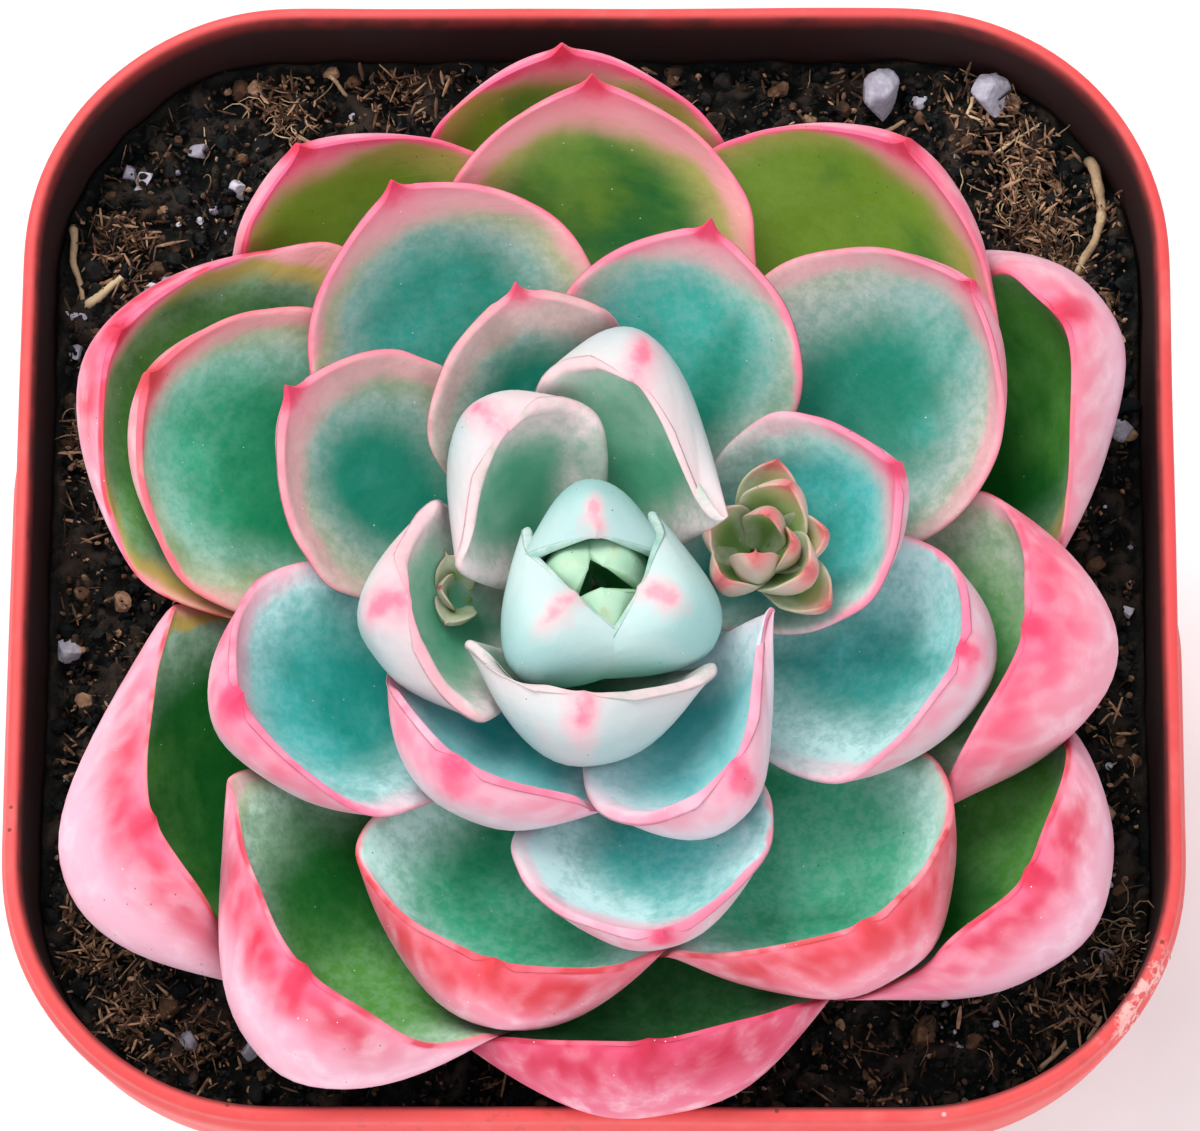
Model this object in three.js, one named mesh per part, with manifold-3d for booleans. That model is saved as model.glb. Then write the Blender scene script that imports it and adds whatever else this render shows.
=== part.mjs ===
// A pink-edged rosette succulent in a square plastic nursery pot.
// Millimetres, +Z up. The origin is the middle of the pot's underside.
import * as THREE from 'three';
import { mergeVertices } from 'three/addons/utils/BufferGeometryUtils.js';
import Module from 'manifold-3d';

const wasm = await Module();
wasm.setup();

// Driving dimensions of the pot
const POT_HEIGHT = 70;
const RIM_HALF = 44.5;
const RIM_CORNER = 20.5;
const RIM_LAND = 1.2;
const BASE_HALF = 29.5;
const BASE_CORNER = 11;
const COLLAR_DEPTH = 12;
const COLLAR_HALF = 43.9;
const COLLAR_STEP = 0.9;
const SHOULDER_PROUD = 0.5;
const SHOULDER_START_LEFT = 9;
const SHOULDER_START_RIGHT = -3.5;
const SHOULDER_RUN = 3;
const WALL = 1.1;
const FLOOR = 1.6;
const DRAIN_RADIUS = 3;
const DRAIN_OFFSET = 19;

// Driving dimensions of the plant and its soil, heights measured from the rim's plane
const SOIL_DROP = 9.8;
const GAP = 0.3;
const AXIS_X = 0.6;
const AXIS_Y = -6.6;
const STEM_RADIUS = 4.3;
const STEM_TOP = 6.4;
const STEM_ROOT = -24;
const LEAF_PITCH = 0.4;
const LEAF_SEAT_TOP = 6.3;
const LEAF_BASE_HALF = 2.4;

// Finishes
const finishes = {
  pot: new THREE.MeshStandardMaterial({ color: 0xe0584c, roughness: 0.45, metalness: 0 }),
  soil: new THREE.MeshStandardMaterial({ color: 0x2a1f1c, roughness: 0.95, metalness: 0 }),
  stem: new THREE.MeshStandardMaterial({ color: 0x8a9a62, roughness: 0.7, metalness: 0 }),
  heart: new THREE.MeshStandardMaterial({ color: 0x7fae7c, roughness: 0.6, metalness: 0 }),
  inner: new THREE.MeshStandardMaterial({ color: 0xa9d2c4, roughness: 0.6, metalness: 0 }),
  middle: new THREE.MeshStandardMaterial({ color: 0x86b9a2, roughness: 0.55, metalness: 0 }),
  outer: new THREE.MeshStandardMaterial({ color: 0xd88fa0, roughness: 0.5, metalness: 0 }),
  offset: new THREE.MeshStandardMaterial({ color: 0xa6b46a, roughness: 0.55, metalness: 0 }),
};

// Helpers that turn geometry into solids and back
const geometryFrom = (positions, triangles) => {
  const geometry = new THREE.BufferGeometry();
  geometry.setAttribute('position', new THREE.Float32BufferAttribute(positions, 3));
  geometry.setIndex(triangles);
  return geometry;
};

const solidFrom = (geometry) => {
  const bare = geometry.clone();
  bare.deleteAttribute('normal');
  bare.deleteAttribute('uv');
  const merged = mergeVertices(bare, 1e-4);
  const index = merged.index.array;
  const faces = [];
  for (let i = 0; i < index.length; i += 3) {
    const [a, b, c] = [index[i], index[i + 1], index[i + 2]];
    if (a !== b && b !== c && c !== a) faces.push(a, b, c);
  }
  return new wasm.Manifold(new wasm.Mesh({
    numProp: 3,
    vertProperties: new Float32Array(merged.attributes.position.array),
    triVerts: new Uint32Array(faces),
  }));
};

// What a cut leaves finer than SLIVER is smoothed away on the way back
const SLIVER = 0.01;
const geometryOf = (solid) => {
  const mesh = solid.asOriginal().simplify(SLIVER).getMesh();
  return geometryFrom(Array.from(mesh.vertProperties), Array.from(mesh.triVerts));
};

// Of a solid that a cut left in several lumps, only the largest is kept
const largestLump = (geometry) => {
  const index = geometry.index.array;
  const owner = Array.from({ length: geometry.attributes.position.count }, (_, i) => i);
  const rootOf = (i) => {
    while (owner[i] !== i) i = owner[i];
    return i;
  };
  for (let i = 0; i < index.length; i += 3) {
    const root = rootOf(index[i]);
    owner[rootOf(index[i + 1])] = root;
    owner[rootOf(index[i + 2])] = root;
  }
  const counts = new Map();
  for (let i = 0; i < index.length; i += 3) {
    const root = rootOf(index[i]);
    counts.set(root, (counts.get(root) ?? 0) + 1);
  }
  const largest = [...counts].sort((a, b) => b[1] - a[1])[0][0];
  const kept = [];
  for (let i = 0; i < index.length; i += 3) {
    if (rootOf(index[i]) === largest) kept.push(index[i], index[i + 1], index[i + 2]);
  }
  return mergeVertices(geometryFrom(Array.from(geometry.attributes.position.array), kept), 1e-4);
};

// A skin through equal rings of points, closed by a fan at each end. A fan meets
// in its ring's middle, or in the point that is given for it.
const skinThrough = (rings, seat = null, tip = null) => {
  const count = rings[0].length;
  const positions = rings.flat().flatMap((p) => [p.x, p.y, p.z]);
  const triangles = [];
  for (let i = 0; i + 1 < rings.length; i += 1) {
    for (let j = 0; j < count; j += 1) {
      const a = i * count + j;
      const b = i * count + ((j + 1) % count);
      triangles.push(a, b, b + count, a, b + count, a + count);
    }
  }
  for (const [ring, given, facing] of [[0, seat, -1], [rings.length - 1, tip, 1]]) {
    const middle = rings[ring].reduce((sum, p) => sum.add(p), new THREE.Vector3());
    const { x, y, z } = given ?? middle.divideScalar(count);
    const hub = positions.length / 3;
    positions.push(x, y, z);
    for (let j = 0; j < count; j += 1) {
      const a = ring * count + j;
      const b = ring * count + ((j + 1) % count);
      if (facing > 0) triangles.push(a, b, hub);
      else triangles.push(b, a, hub);
    }
  }
  return geometryFrom(positions, triangles);
};

// The pot: one moulded wall between rounded-square rings, with four drain holes.
// Each side that runs fore and aft has two more points, where the shoulder starts.
const CORNER_STEPS = 6;
const roundedSquare = ([half, corner, z], bulge = 0) => {
  const flat = half - corner;
  const outline = [];
  for (const [sideX, sideY, quarter] of [[1, 1, 0], [-1, 1, 1], [-1, -1, 2], [1, -1, 3]]) {
    for (let step = 0; step <= CORNER_STEPS; step += 1) {
      const turn = (quarter + step / CORNER_STEPS) * Math.PI / 2;
      outline.push([sideX * flat, sideY * flat, turn]);
    }
    if (quarter === 1) {
      outline.push([-flat, SHOULDER_START_LEFT, Math.PI]);
      outline.push([-flat, SHOULDER_START_LEFT - SHOULDER_RUN, Math.PI]);
    }
    if (quarter === 3) {
      outline.push([flat, SHOULDER_START_RIGHT - SHOULDER_RUN, 0]);
      outline.push([flat, SHOULDER_START_RIGHT, 0]);
    }
  }
  return outline.map(([x, y, turn]) => {
    const start = x < 0 ? SHOULDER_START_LEFT : SHOULDER_START_RIGHT;
    const proud = corner + (y < start ? bulge : 0);
    return new THREE.Vector3(x + proud * Math.cos(turn), y + proud * Math.sin(turn), z);
  });
};

// The wall's inside, from the rim down: half side, corner radius, height
const COLLAR_FOOT = POT_HEIGHT - COLLAR_DEPTH;
const INSIDE = [
  [RIM_HALF - RIM_LAND, RIM_CORNER - RIM_LAND, POT_HEIGHT],
  [COLLAR_HALF - WALL, RIM_CORNER - 0.6 - WALL, COLLAR_FOOT + 0.8],
  [COLLAR_HALF - COLLAR_STEP - WALL, RIM_CORNER - 0.6 - COLLAR_STEP - WALL, COLLAR_FOOT - 1.2],
  [BASE_HALF - WALL, BASE_CORNER - WALL, FLOOR],
];

const makePot = () => {
  const body = COLLAR_HALF - COLLAR_STEP;
  const rings = [
    roundedSquare([BASE_HALF - 0.8, BASE_CORNER - 0.8, 0]),
    roundedSquare([BASE_HALF, BASE_CORNER, 1]),
    roundedSquare([body, RIM_CORNER - 0.6 - COLLAR_STEP, COLLAR_FOOT - 0.5]),
    roundedSquare([COLLAR_HALF, RIM_CORNER - 0.6, COLLAR_FOOT]),
    roundedSquare([RIM_HALF - 0.2, RIM_CORNER - 0.2, POT_HEIGHT - 3], SHOULDER_PROUD),
    roundedSquare([RIM_HALF - 0.1, RIM_CORNER - 0.1, POT_HEIGHT - 1.6], SHOULDER_PROUD),
    roundedSquare([RIM_HALF, RIM_CORNER, POT_HEIGHT - 0.9]),
    roundedSquare([RIM_HALF - 0.3, RIM_CORNER - 0.3, POT_HEIGHT]),
    ...INSIDE.map((ring) => roundedSquare(ring)),
  ];
  let pot = solidFrom(skinThrough(rings));
  for (const [x, y] of [[1, 1], [-1, 1], [-1, -1], [1, -1]]) {
    const drill = new THREE.CylinderGeometry(DRAIN_RADIUS, DRAIN_RADIUS, 4 * FLOOR, 12);
    drill.rotateX(Math.PI / 2);
    drill.translate(x * DRAIN_OFFSET, y * DRAIN_OFFSET, 0);
    pot = pot.subtract(solidFrom(drill));
  }
  return geometryOf(pot);
};

// A leaf: a spoon whose upper face is cupped between two sharp edges and whose
// underside is a full round belly. Its middle line is one cubic curve from its
// seat on the stem to its tip, in the upright plane of its azimuth.
const LEAF_MESH = { stations: 10, points: 5 };
const LEAFLET_MESH = { stations: 5, points: 3 };
const TIP_CROWDING = 1.7;
const MUCRO = 0.7;
const BEND_EASE = 0.18;
const WIDEST_AT = 0.55;
const DEEPEST_AT = 0.6;
const BLUNT_FROM = 0.84;
const EDGE_ROUND = 2.4;

const smooth = (x) => THREE.MathUtils.smoothstep(x, 0, 1);

const leafWidth = (s, halfWidth, baseHalf) => {
  if (s < WIDEST_AT) {
    const swell = Math.sin(s / WIDEST_AT * Math.PI / 2) ** 1.25;
    return baseHalf + (halfWidth - baseHalf) * swell;
  }
  const u = (s - WIDEST_AT) / (1 - WIDEST_AT);
  return halfWidth * Math.max(1 - u ** 2.1, 0) ** 0.54;
};

const leafDepth = (s, thickness) => {
  const swell = 0.3 + 0.7 * Math.sin(Math.min(s / DEEPEST_AT, 1) * Math.PI / 2) ** 1.6;
  const fade = 1 - 0.35 * smooth((s - DEEPEST_AT) / (1 - DEEPEST_AT));
  const end = Math.max((s - BLUNT_FROM) / (1 - BLUNT_FROM), 0);
  return thickness * swell * fade * Math.sqrt(Math.max(1 - end ** 2.2, 0));
};

const leafSkin = (leaf, skin, { stations, points }) => {
  const azimuth = THREE.MathUtils.degToRad(leaf.azimuth);
  const start = new THREE.Vector2(leaf.seatRadius, leaf.seatHeight);
  const end = new THREE.Vector2(leaf.reach, leaf.tipHeight);
  const chord = start.distanceTo(end);
  const along = (degrees, length) => new THREE.Vector2(
    length * Math.cos(THREE.MathUtils.degToRad(degrees)),
    length * Math.sin(THREE.MathUtils.degToRad(degrees)),
  );
  const line = new THREE.CubicBezierCurve(
    start,
    start.clone().add(along(leaf.startSlope, leaf.startPull * chord)),
    end.clone().sub(along(leaf.tipSlope, leaf.tipPull * chord)),
    end,
  );
  const across = Array.from(
    { length: points },
    (_, i) => Math.sin((0.5 - i / (points - 1)) * Math.PI),
  );
  // A point of the leaf, given along its line, sideways from it and above it. The
  // rise is square to the line's eased course, or the cup would fold in the bend.
  const place = (s, sideways, level) => {
    const middle = line.getPoint(s);
    const before = line.getTangent(Math.max(s - BEND_EASE, 0));
    const course = line.getTangent(Math.min(s + BEND_EASE, 1)).add(before).normalize();
    const further = skin * (2 * s - 1);
    const r = middle.x - course.y * level + course.x * further;
    const side = sideways + leaf.lean * s * s;
    return new THREE.Vector3(
      leaf.x + r * Math.cos(azimuth) - side * Math.sin(azimuth),
      leaf.y + r * Math.sin(azimuth) + side * Math.cos(azimuth),
      middle.y + course.x * level + course.y * further,
    );
  };
  const rings = [];
  for (let station = 0; station < stations; station += 1) {
    const s = 1 - (1 - station / stations) ** TIP_CROWDING;
    const half = leafWidth(s, leaf.halfWidth, leaf.baseHalf) + skin;
    const depth = leafDepth(s, leaf.thickness) + 2 * skin;
    const face = (x) => skin + half * (leaf.cup * x * x + leaf.roll * x * s);
    const belly = (x) => face(x) - depth * (1 - Math.abs(x) ** EDGE_ROUND) ** 0.6;
    const upper = across.map((x) => place(s, x * half, face(x)));
    const lower = across.slice(1, -1).reverse().map((x) => place(s, x * half, belly(x)));
    rings.push([...upper, ...lower]);
  }
  const last = line.getTangent(1).multiplyScalar(MUCRO);
  const tip = place(1, 0, 0);
  tip.x += last.x * Math.cos(azimuth);
  tip.y += last.x * Math.sin(azimuth);
  tip.z += last.y;
  const seat = place(0, 0, skin - leafDepth(0, leaf.thickness) / 2);
  return skinThrough(rings, seat, tip);
};

const leafSolid = (leaf, skin = 0, mesh = LEAF_MESH) => solidFrom(leafSkin(leaf, skin, mesh));

// The rosette's leaves in the order in which they grew, youngest first. Each is
// given as its azimuth and lean sideways, its tip's reach from the rosette's axis
// and height over the rim, its half width, its tip's slope, thickness, cup and roll.
const ROSETTE = [
  [100, 0.0, 2.8, 17.0, 5.6, 140, 3.3, 0.42, 0],
  [229, 0.0, 3.4, 17.3, 6.6, 138, 4.2, 0.42, 0],
  [338, 0.0, 4.7, 17.3, 6.6, 132, 3.6, 0.42, 0],
  [128, -1.8, 12.8, 16.5, 8.4, 104, 3.2, 0.48, 0.18],
  [265, 0.0, 9.6, 16.8, 9.2, 124, 3.7, 0.42, 0],
  [75, 1.4, 15.4, 16.5, 8.2, 98, 3.4, 0.45, -0.28],
  [190, -0.5, 15.2, 15.8, 8.8, 104, 3.4, 0.42, 0],
  [305, 0.4, 17.8, 15.0, 9.0, 98, 3.2, 0.38, 0],
  [107, -0.6, 22.8, 15.0, 9.3, 66, 3.0, 0.36, 0],
  [237, -0.8, 18.8, 14.5, 10.2, 94, 3.2, 0.38, 0],
  [17, 1.0, 22.9, 13.5, 9.2, 70, 3.0, 0.36, 0],
  [155, -1.8, 26.6, 13.4, 9.6, 66, 3.0, 0.36, 0],
  [281, -0.4, 27.2, 12.5, 9.8, 68, 3.0, 0.36, 0],
  [71, 0.3, 28.7, 13.5, 10.2, 64, 3.0, 0.36, 0],
  [201, -1.4, 29.1, 12.0, 10.7, 76, 3.6, 0.40, 0.08],
  [345, 1.2, 28.2, 12.0, 10.6, 88, 3.8, 0.38, -0.14],
  [116, -1.6, 34.6, 12.0, 11.6, 66, 3.6, 0.36, 0],
  [255, 0.0, 30.4, 10.0, 12.6, 96, 4.8, 0.38, 0],
  [38, 0.5, 37.4, 11.0, 11.9, 74, 4.2, 0.38, 0],
  [158, -1.0, 37.9, 10.5, 12.2, 78, 4.4, 0.38, 0],
  [308, 0.0, 32.6, 10.0, 12.9, 98, 5.2, 0.48, -0.2],
  [91, 0.0, 40.2, 11.0, 12.4, 68, 4.0, 0.36, 0],
  [233, 0.0, 38.8, 8.0, 13.8, 97, 5.8, 0.52, -0.22],
  [353, 1.2, 33.6, 9.5, 12.8, 106, 7.2, 0.46, -0.14],
  [153, -1.0, 42.8, 7.0, 15.2, 88, 5.4, 0.48, 0],
  [276, 0.2, 34.4, 7.4, 16.0, 99, 5.8, 0.28, 0],
  [56, 1.2, 42.8, 8.0, 14.6, 80, 5.2, 0.38, 0],
  [205, 1.5, 41.0, 6.5, 15.2, 95, 6.8, 0.54, -0.14],
  [328, -0.8, 40.0, 6.0, 15.0, 92, 6.2, 0.42, -0.08],
  [122, -1.0, 41.6, 8.0, 13.6, 76, 4.8, 0.36, 0],
  [32, 1.0, 42.2, 6.5, 14.6, 99, 6.8, 0.54, -0.14],
  [94, 0.0, 44.4, 7.0, 14.0, 76, 4.6, 0.36, 0],
];

const rosetteLeaf = (row, rank) => {
  const [azimuth, lean, reach, tipHeight, halfWidth, tipSlope, thickness, cup, roll] = row;
  return {
    x: AXIS_X,
    y: AXIS_Y,
    azimuth,
    lean,
    reach,
    tipHeight: POT_HEIGHT + tipHeight,
    halfWidth,
    tipSlope,
    thickness,
    cup,
    roll,
    baseHalf: Math.min(LEAF_BASE_HALF, 0.42 * halfWidth),
    seatRadius: Math.min(STEM_RADIUS + GAP, 2.2 + 0.42 * rank),
    seatHeight: POT_HEIGHT + LEAF_SEAT_TOP - LEAF_PITCH * rank,
    startSlope: 6 + 60 * Math.exp(-rank / 9),
    startPull: 0.42,
    tipPull: 0.44 - 0.18 * Math.min(rank / 26, 1),
  };
};

// The heart: three tiny leaves that close over the growing point
const HEART = [
  [281, 0.0, 1.6, 15.8, 3.2, 118, 1.8, 0.40, 0],
  [60, 0.0, 1.0, 15.0, 2.3, 112, 1.4, 0.40, 0],
  [165, 0.0, 1.4, 15.4, 2.4, 116, 1.4, 0.40, 0],
];

const heartLeaf = (row, rank) => ({
  ...rosetteLeaf(row, 0),
  seatRadius: 1.3 - 0.25 * rank,
  seatHeight: POT_HEIGHT + STEM_TOP + 0.4 + 0.5 * rank,
  startSlope: 74,
  baseHalf: 0.9,
});

// A small side rosette: pointed leaflets on a short core, fused in one solid
const sideRosette = ({ x, y, foot, leaflets }) => {
  const core = new THREE.SphereGeometry(1.2, 8, 6);
  core.rotateX(Math.PI / 2);
  core.scale(1, 1, 2.2);
  core.translate(x, y, foot + 2);
  let cluster = solidFrom(core);
  for (const [azimuth, length, rise, halfWidth] of leaflets) {
    cluster = cluster.add(leafSolid({
      x,
      y,
      azimuth,
      lean: 0,
      reach: length,
      tipHeight: foot + rise,
      halfWidth,
      tipSlope: 62,
      thickness: 1.3,
      cup: 0.35,
      roll: 0,
      baseHalf: 0.6 * halfWidth,
      seatRadius: 0.4,
      seatHeight: foot + 1,
      startSlope: 40,
      startPull: 0.4,
      tipPull: 0.3,
    }, 0, LEAFLET_MESH));
  }
  return cluster;
};

// The offset lies in the cup of the leaf right of the heart; the bud lies left of it
const OFFSET = {
  x: 12.9,
  y: -2.9,
  foot: POT_HEIGHT + 8,
  leaflets: [
    [84, 5.6, 5.2, 1.7], [62, 4.6, 6.2, 1.5], [38, 3.2, 6.6, 1.3], [6, 4.4, 5.8, 1.5],
    [335, 3.8, 5.4, 1.6], [312, 5.2, 4.2, 1.6], [200, 2.2, 6.0, 1.4], [140, 2.6, 6.2, 1.4],
  ],
};
const BUD = {
  x: -9.4,
  y: -6.9,
  foot: POT_HEIGHT + 6.5,
  leaflets: [[100, 2.6, 5.6, 1.5], [240, 2.6, 5.2, 1.5], [170, 2.2, 5.0, 1.3], [350, 1.6, 5.8, 1.2]],
};

// The stem: turned, thick in the soil and tapered to the heart
const stemProfile = (skin) => [
  [0, STEM_ROOT - skin], [2.6 + skin, STEM_ROOT + 1 - skin], [STEM_RADIUS + skin, STEM_ROOT + 8],
  [STEM_RADIUS + skin, LEAF_SEAT_TOP - 2.6], [1.9 + skin, LEAF_SEAT_TOP - 0.2],
  [0.8 + skin, STEM_TOP + 0.2], [0, STEM_TOP + 0.4 + skin],
].map(([r, z]) => new THREE.Vector2(r, POT_HEIGHT + z));

const makeStem = (skin = 0) => {
  const stem = new THREE.LatheGeometry(stemProfile(skin), 18);
  stem.rotateX(Math.PI / 2);
  stem.translate(AXIS_X, AXIS_Y, 0);
  return stem;
};

// The soil: a filling whose surface is heaped by crumbs, with perlite lumps in it,
// each given as its place and radius
const SOIL_RINGS = [1, 0.965, 0.92, 0.86, 0.78, 0.66, 0.45];
const SOIL_EDGE = POT_HEIGHT - SOIL_DROP - 1.2;
const PERLITE = [
  [21.6, 36.2, 1.8], [24.0, 35.2, 0.9], [29.7, 35.6, 1.5], [-29.8, 30.4, 1.0], [-33.9, 28.4, 0.9],
  [-26.8, 27.9, 1.1], [-37.1, 31.0, 1.0], [-39.4, -6.6, 1.4], [-30.0, -36.4, 1.0],
  [-25.7, -37.3, 1.0], [40.2, 9.9, 1.1], [39.7, -4.2, 0.8], [37.6, -29.4, 0.9],
];

const soilHeight = (x, y) => {
  const heap = 0.7 * Math.sin(x * 0.31 + 1.3) * Math.cos(y * 0.27 - 0.6);
  const crumbs = 0.45 * Math.sin(x * 0.93 + y * 0.41) * Math.sin(y * 1.07 - x * 0.35 + 2);
  const back = -0.5 * Math.max(y, 0) / RIM_HALF;
  return POT_HEIGHT - SOIL_DROP + heap + crumbs + back;
};

const insideAt = (z) => {
  const upper = INSIDE.findIndex(([, , height], i) => height >= z && INSIDE[i + 1][2] <= z);
  const [top, foot] = [INSIDE[upper], INSIDE[upper + 1]];
  const share = (z - foot[2]) / (top[2] - foot[2]);
  const [half, corner] = [0, 1].map((i) => THREE.MathUtils.lerp(foot[i], top[i], share));
  return [half - GAP, corner - GAP, z];
};

const makeSoil = () => {
  const edge = roundedSquare(insideAt(SOIL_EDGE));
  const rings = [FLOOR + GAP, INSIDE[2][2]].map((z) => roundedSquare(insideAt(z)));
  rings.push(edge);
  for (const share of SOIL_RINGS) {
    rings.push(edge.map(({ x, y }) => (
      new THREE.Vector3(x * share, y * share, soilHeight(x * share, y * share))
    )));
  }
  let soil = solidFrom(skinThrough(rings));
  for (const [x, y, radius] of PERLITE) {
    const grain = new THREE.IcosahedronGeometry(radius);
    grain.rotateX(x);
    grain.rotateY(y);
    grain.translate(x, y, soilHeight(x, y) + 0.35 * radius);
    soil = soil.add(solidFrom(grain));
  }
  return soil;
};

// Putting it together: each older leaf gives way where it presses on a younger one
const plant = new THREE.Group();
const addNode = (name, geometry, finish) => {
  const mesh = new THREE.Mesh(geometry, finish.clone());
  mesh.name = name;
  plant.add(mesh);
};

addNode('pot', makePot(), finishes.pot);
addNode('stem', makeStem(), finishes.stem);

const grown = [solidFrom(makeStem(GAP))];
const clearOf = (solid) => grown.reduce((rest, cutter) => rest.subtract(cutter), solid);

const placeLeaf = (name, leaf, finish) => {
  addNode(name, largestLump(geometryOf(clearOf(leafSolid(leaf)))), finish);
  grown.push(leafSolid(leaf, GAP));
};

HEART.forEach((row, i) => placeLeaf(`heart_leaf_${i + 1}`, heartLeaf(row, i), finishes.heart));
ROSETTE.forEach((row, rank) => {
  const name = `leaf_${String(rank + 1).padStart(2, '0')}`;
  const ring = rank < 8 ? 'inner' : 'middle';
  placeLeaf(name, rosetteLeaf(row, rank), finishes[rank < 22 ? ring : 'outer']);
});

for (const [name, place] of [['offset_rosette', OFFSET], ['side_bud', BUD]]) {
  addNode(name, largestLump(geometryOf(clearOf(sideRosette(place)))), finishes.offset);
}
addNode('soil', largestLump(geometryOf(clearOf(makeSoil()))), finishes.soil);

export default plant;
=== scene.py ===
# A pink-edged rosette succulent in a square plastic nursery pot, in metres, +Z up,
# with the pot's front towards -Y.
import math

import bpy
import numpy as np
from mathutils import Matrix, Vector, noise
from mathutils.bvhtree import BVHTree


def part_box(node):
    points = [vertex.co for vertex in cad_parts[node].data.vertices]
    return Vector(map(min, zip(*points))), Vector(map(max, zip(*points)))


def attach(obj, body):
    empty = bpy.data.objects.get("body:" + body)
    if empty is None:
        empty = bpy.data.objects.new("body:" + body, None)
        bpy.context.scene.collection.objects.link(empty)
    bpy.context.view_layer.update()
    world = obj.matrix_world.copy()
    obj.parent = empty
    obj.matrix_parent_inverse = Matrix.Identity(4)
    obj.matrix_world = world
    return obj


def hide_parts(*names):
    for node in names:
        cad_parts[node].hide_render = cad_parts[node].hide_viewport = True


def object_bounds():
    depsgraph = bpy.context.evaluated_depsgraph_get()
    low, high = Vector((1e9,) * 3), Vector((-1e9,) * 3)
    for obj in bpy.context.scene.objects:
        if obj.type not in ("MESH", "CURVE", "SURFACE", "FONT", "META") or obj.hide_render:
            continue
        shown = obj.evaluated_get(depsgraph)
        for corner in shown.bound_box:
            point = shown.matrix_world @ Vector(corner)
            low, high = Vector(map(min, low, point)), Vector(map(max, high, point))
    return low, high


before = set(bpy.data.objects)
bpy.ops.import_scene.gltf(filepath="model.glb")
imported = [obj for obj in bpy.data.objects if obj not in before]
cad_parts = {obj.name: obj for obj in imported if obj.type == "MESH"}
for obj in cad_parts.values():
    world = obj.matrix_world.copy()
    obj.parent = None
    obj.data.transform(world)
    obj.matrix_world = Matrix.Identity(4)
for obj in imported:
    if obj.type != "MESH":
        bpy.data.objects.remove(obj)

cad_low, cad_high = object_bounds()

# Stage: a pale tabletop under soft light, seen from above and a little in front.
# The camera stands on a line through the middle of the pot's rim, with the pot's
# sides level in the picture.
MM = 0.001
RIM_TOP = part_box("pot")[1].z
CAMERA_AIM = Vector((0, 0, RIM_TOP))
CAMERA_TILT = math.radians(16.8)
CAMERA_SIDE = math.radians(1.0)
CAMERA_DISTANCE = 480 * MM
CAMERA_NEAREST = 20 * MM
CAMERA_LENS = 188.6
CAMERA_SHIFT = (0.005, -0.01375)
TABLE_SIZE = 4
SKY = (0.93, 0.96, 1.0, 1)
SKY_STRENGTH = 0.80
LIGHTS = [
    ("window", (-0.35, 0.55, 0.95), 0.75, 9.0, (1.0, 0.98, 0.95)),
    ("front_bounce", (0.30, -0.80, 0.60), 0.80, 3.6, (0.96, 0.98, 1.0)),
    ("left_bounce", (-0.85, -0.15, 0.45), 0.60, 1.8, (1.0, 0.98, 0.96)),
]


def node(tree, kind, inputs=None, **settings):
    """A shader node with its settings made and its inputs set or linked."""
    made = tree.nodes.new(kind)
    for name, value in settings.items():
        setattr(made, name, value)
    for name, value in (inputs or {}).items():
        if isinstance(value, bpy.types.NodeSocket):
            tree.links.new(value, made.inputs[name])
        else:
            made.inputs[name].default_value = value
    return made


def tint(tree, amount, below, above):
    """Colour above laid over colour below by an amount from 0 to 1."""
    made = node(tree, "ShaderNodeMix", {0: amount, 6: below, 7: above}, data_type="RGBA")
    return made.outputs[2]


def cloud(tree, place, size, detail=3.0, roughness=0.55):
    """Soft noise from 0 to 1 whose blotches are about size metres across."""
    values = {"Vector": place, "Scale": 0.5 / size, "Detail": detail, "Roughness": roughness}
    return node(tree, "ShaderNodeTexNoise", values).outputs[0]


def new_material(name):
    """An empty node material with its surface shader and object coordinates."""
    material = bpy.data.materials.new(name)
    material.use_nodes = True
    tree = material.node_tree
    tree.nodes.clear()
    shader = node(tree, "ShaderNodeBsdfPrincipled")
    node(tree, "ShaderNodeOutputMaterial", {"Surface": shader.outputs[0]})
    place = node(tree, "ShaderNodeTexCoord").outputs["Object"]
    return material, tree, shader, place


way_up = Vector((math.tan(CAMERA_SIDE), -math.tan(CAMERA_TILT), 1)).normalized()
level = Vector((1, 0, 0))
right = (level - way_up * level.dot(way_up)).normalized()
camera_data = bpy.data.cameras.new("camera")
camera_data.lens = CAMERA_LENS
camera_data.shift_x, camera_data.shift_y = CAMERA_SHIFT
camera_data.clip_start = CAMERA_NEAREST
camera = bpy.data.objects.new("camera", camera_data)
turn = Matrix((right, way_up.cross(right), way_up)).transposed()
camera.matrix_world = Matrix.Translation(CAMERA_AIM + way_up * CAMERA_DISTANCE) @ turn.to_4x4()
bpy.context.scene.collection.objects.link(camera)
bpy.context.scene.camera = camera
bpy.context.scene.view_settings.view_transform = "Standard"
bpy.context.scene.view_settings.look = "None"

bpy.ops.object.select_all(action="DESELECT")
bpy.ops.mesh.primitive_plane_add(size=TABLE_SIZE)
table = bpy.context.object
table.name = "tabletop"
table_paint, tree, shader, place = new_material("pale_tabletop")
speckle = cloud(tree, place, 4 * MM)
paint = tint(tree, speckle, (0.86, 0.86, 0.85, 1), (0.93, 0.93, 0.93, 1))
tree.links.new(paint, shader.inputs["Base Color"])
shader.inputs["Roughness"].default_value = 0.7
table.data.materials.append(table_paint)

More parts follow.
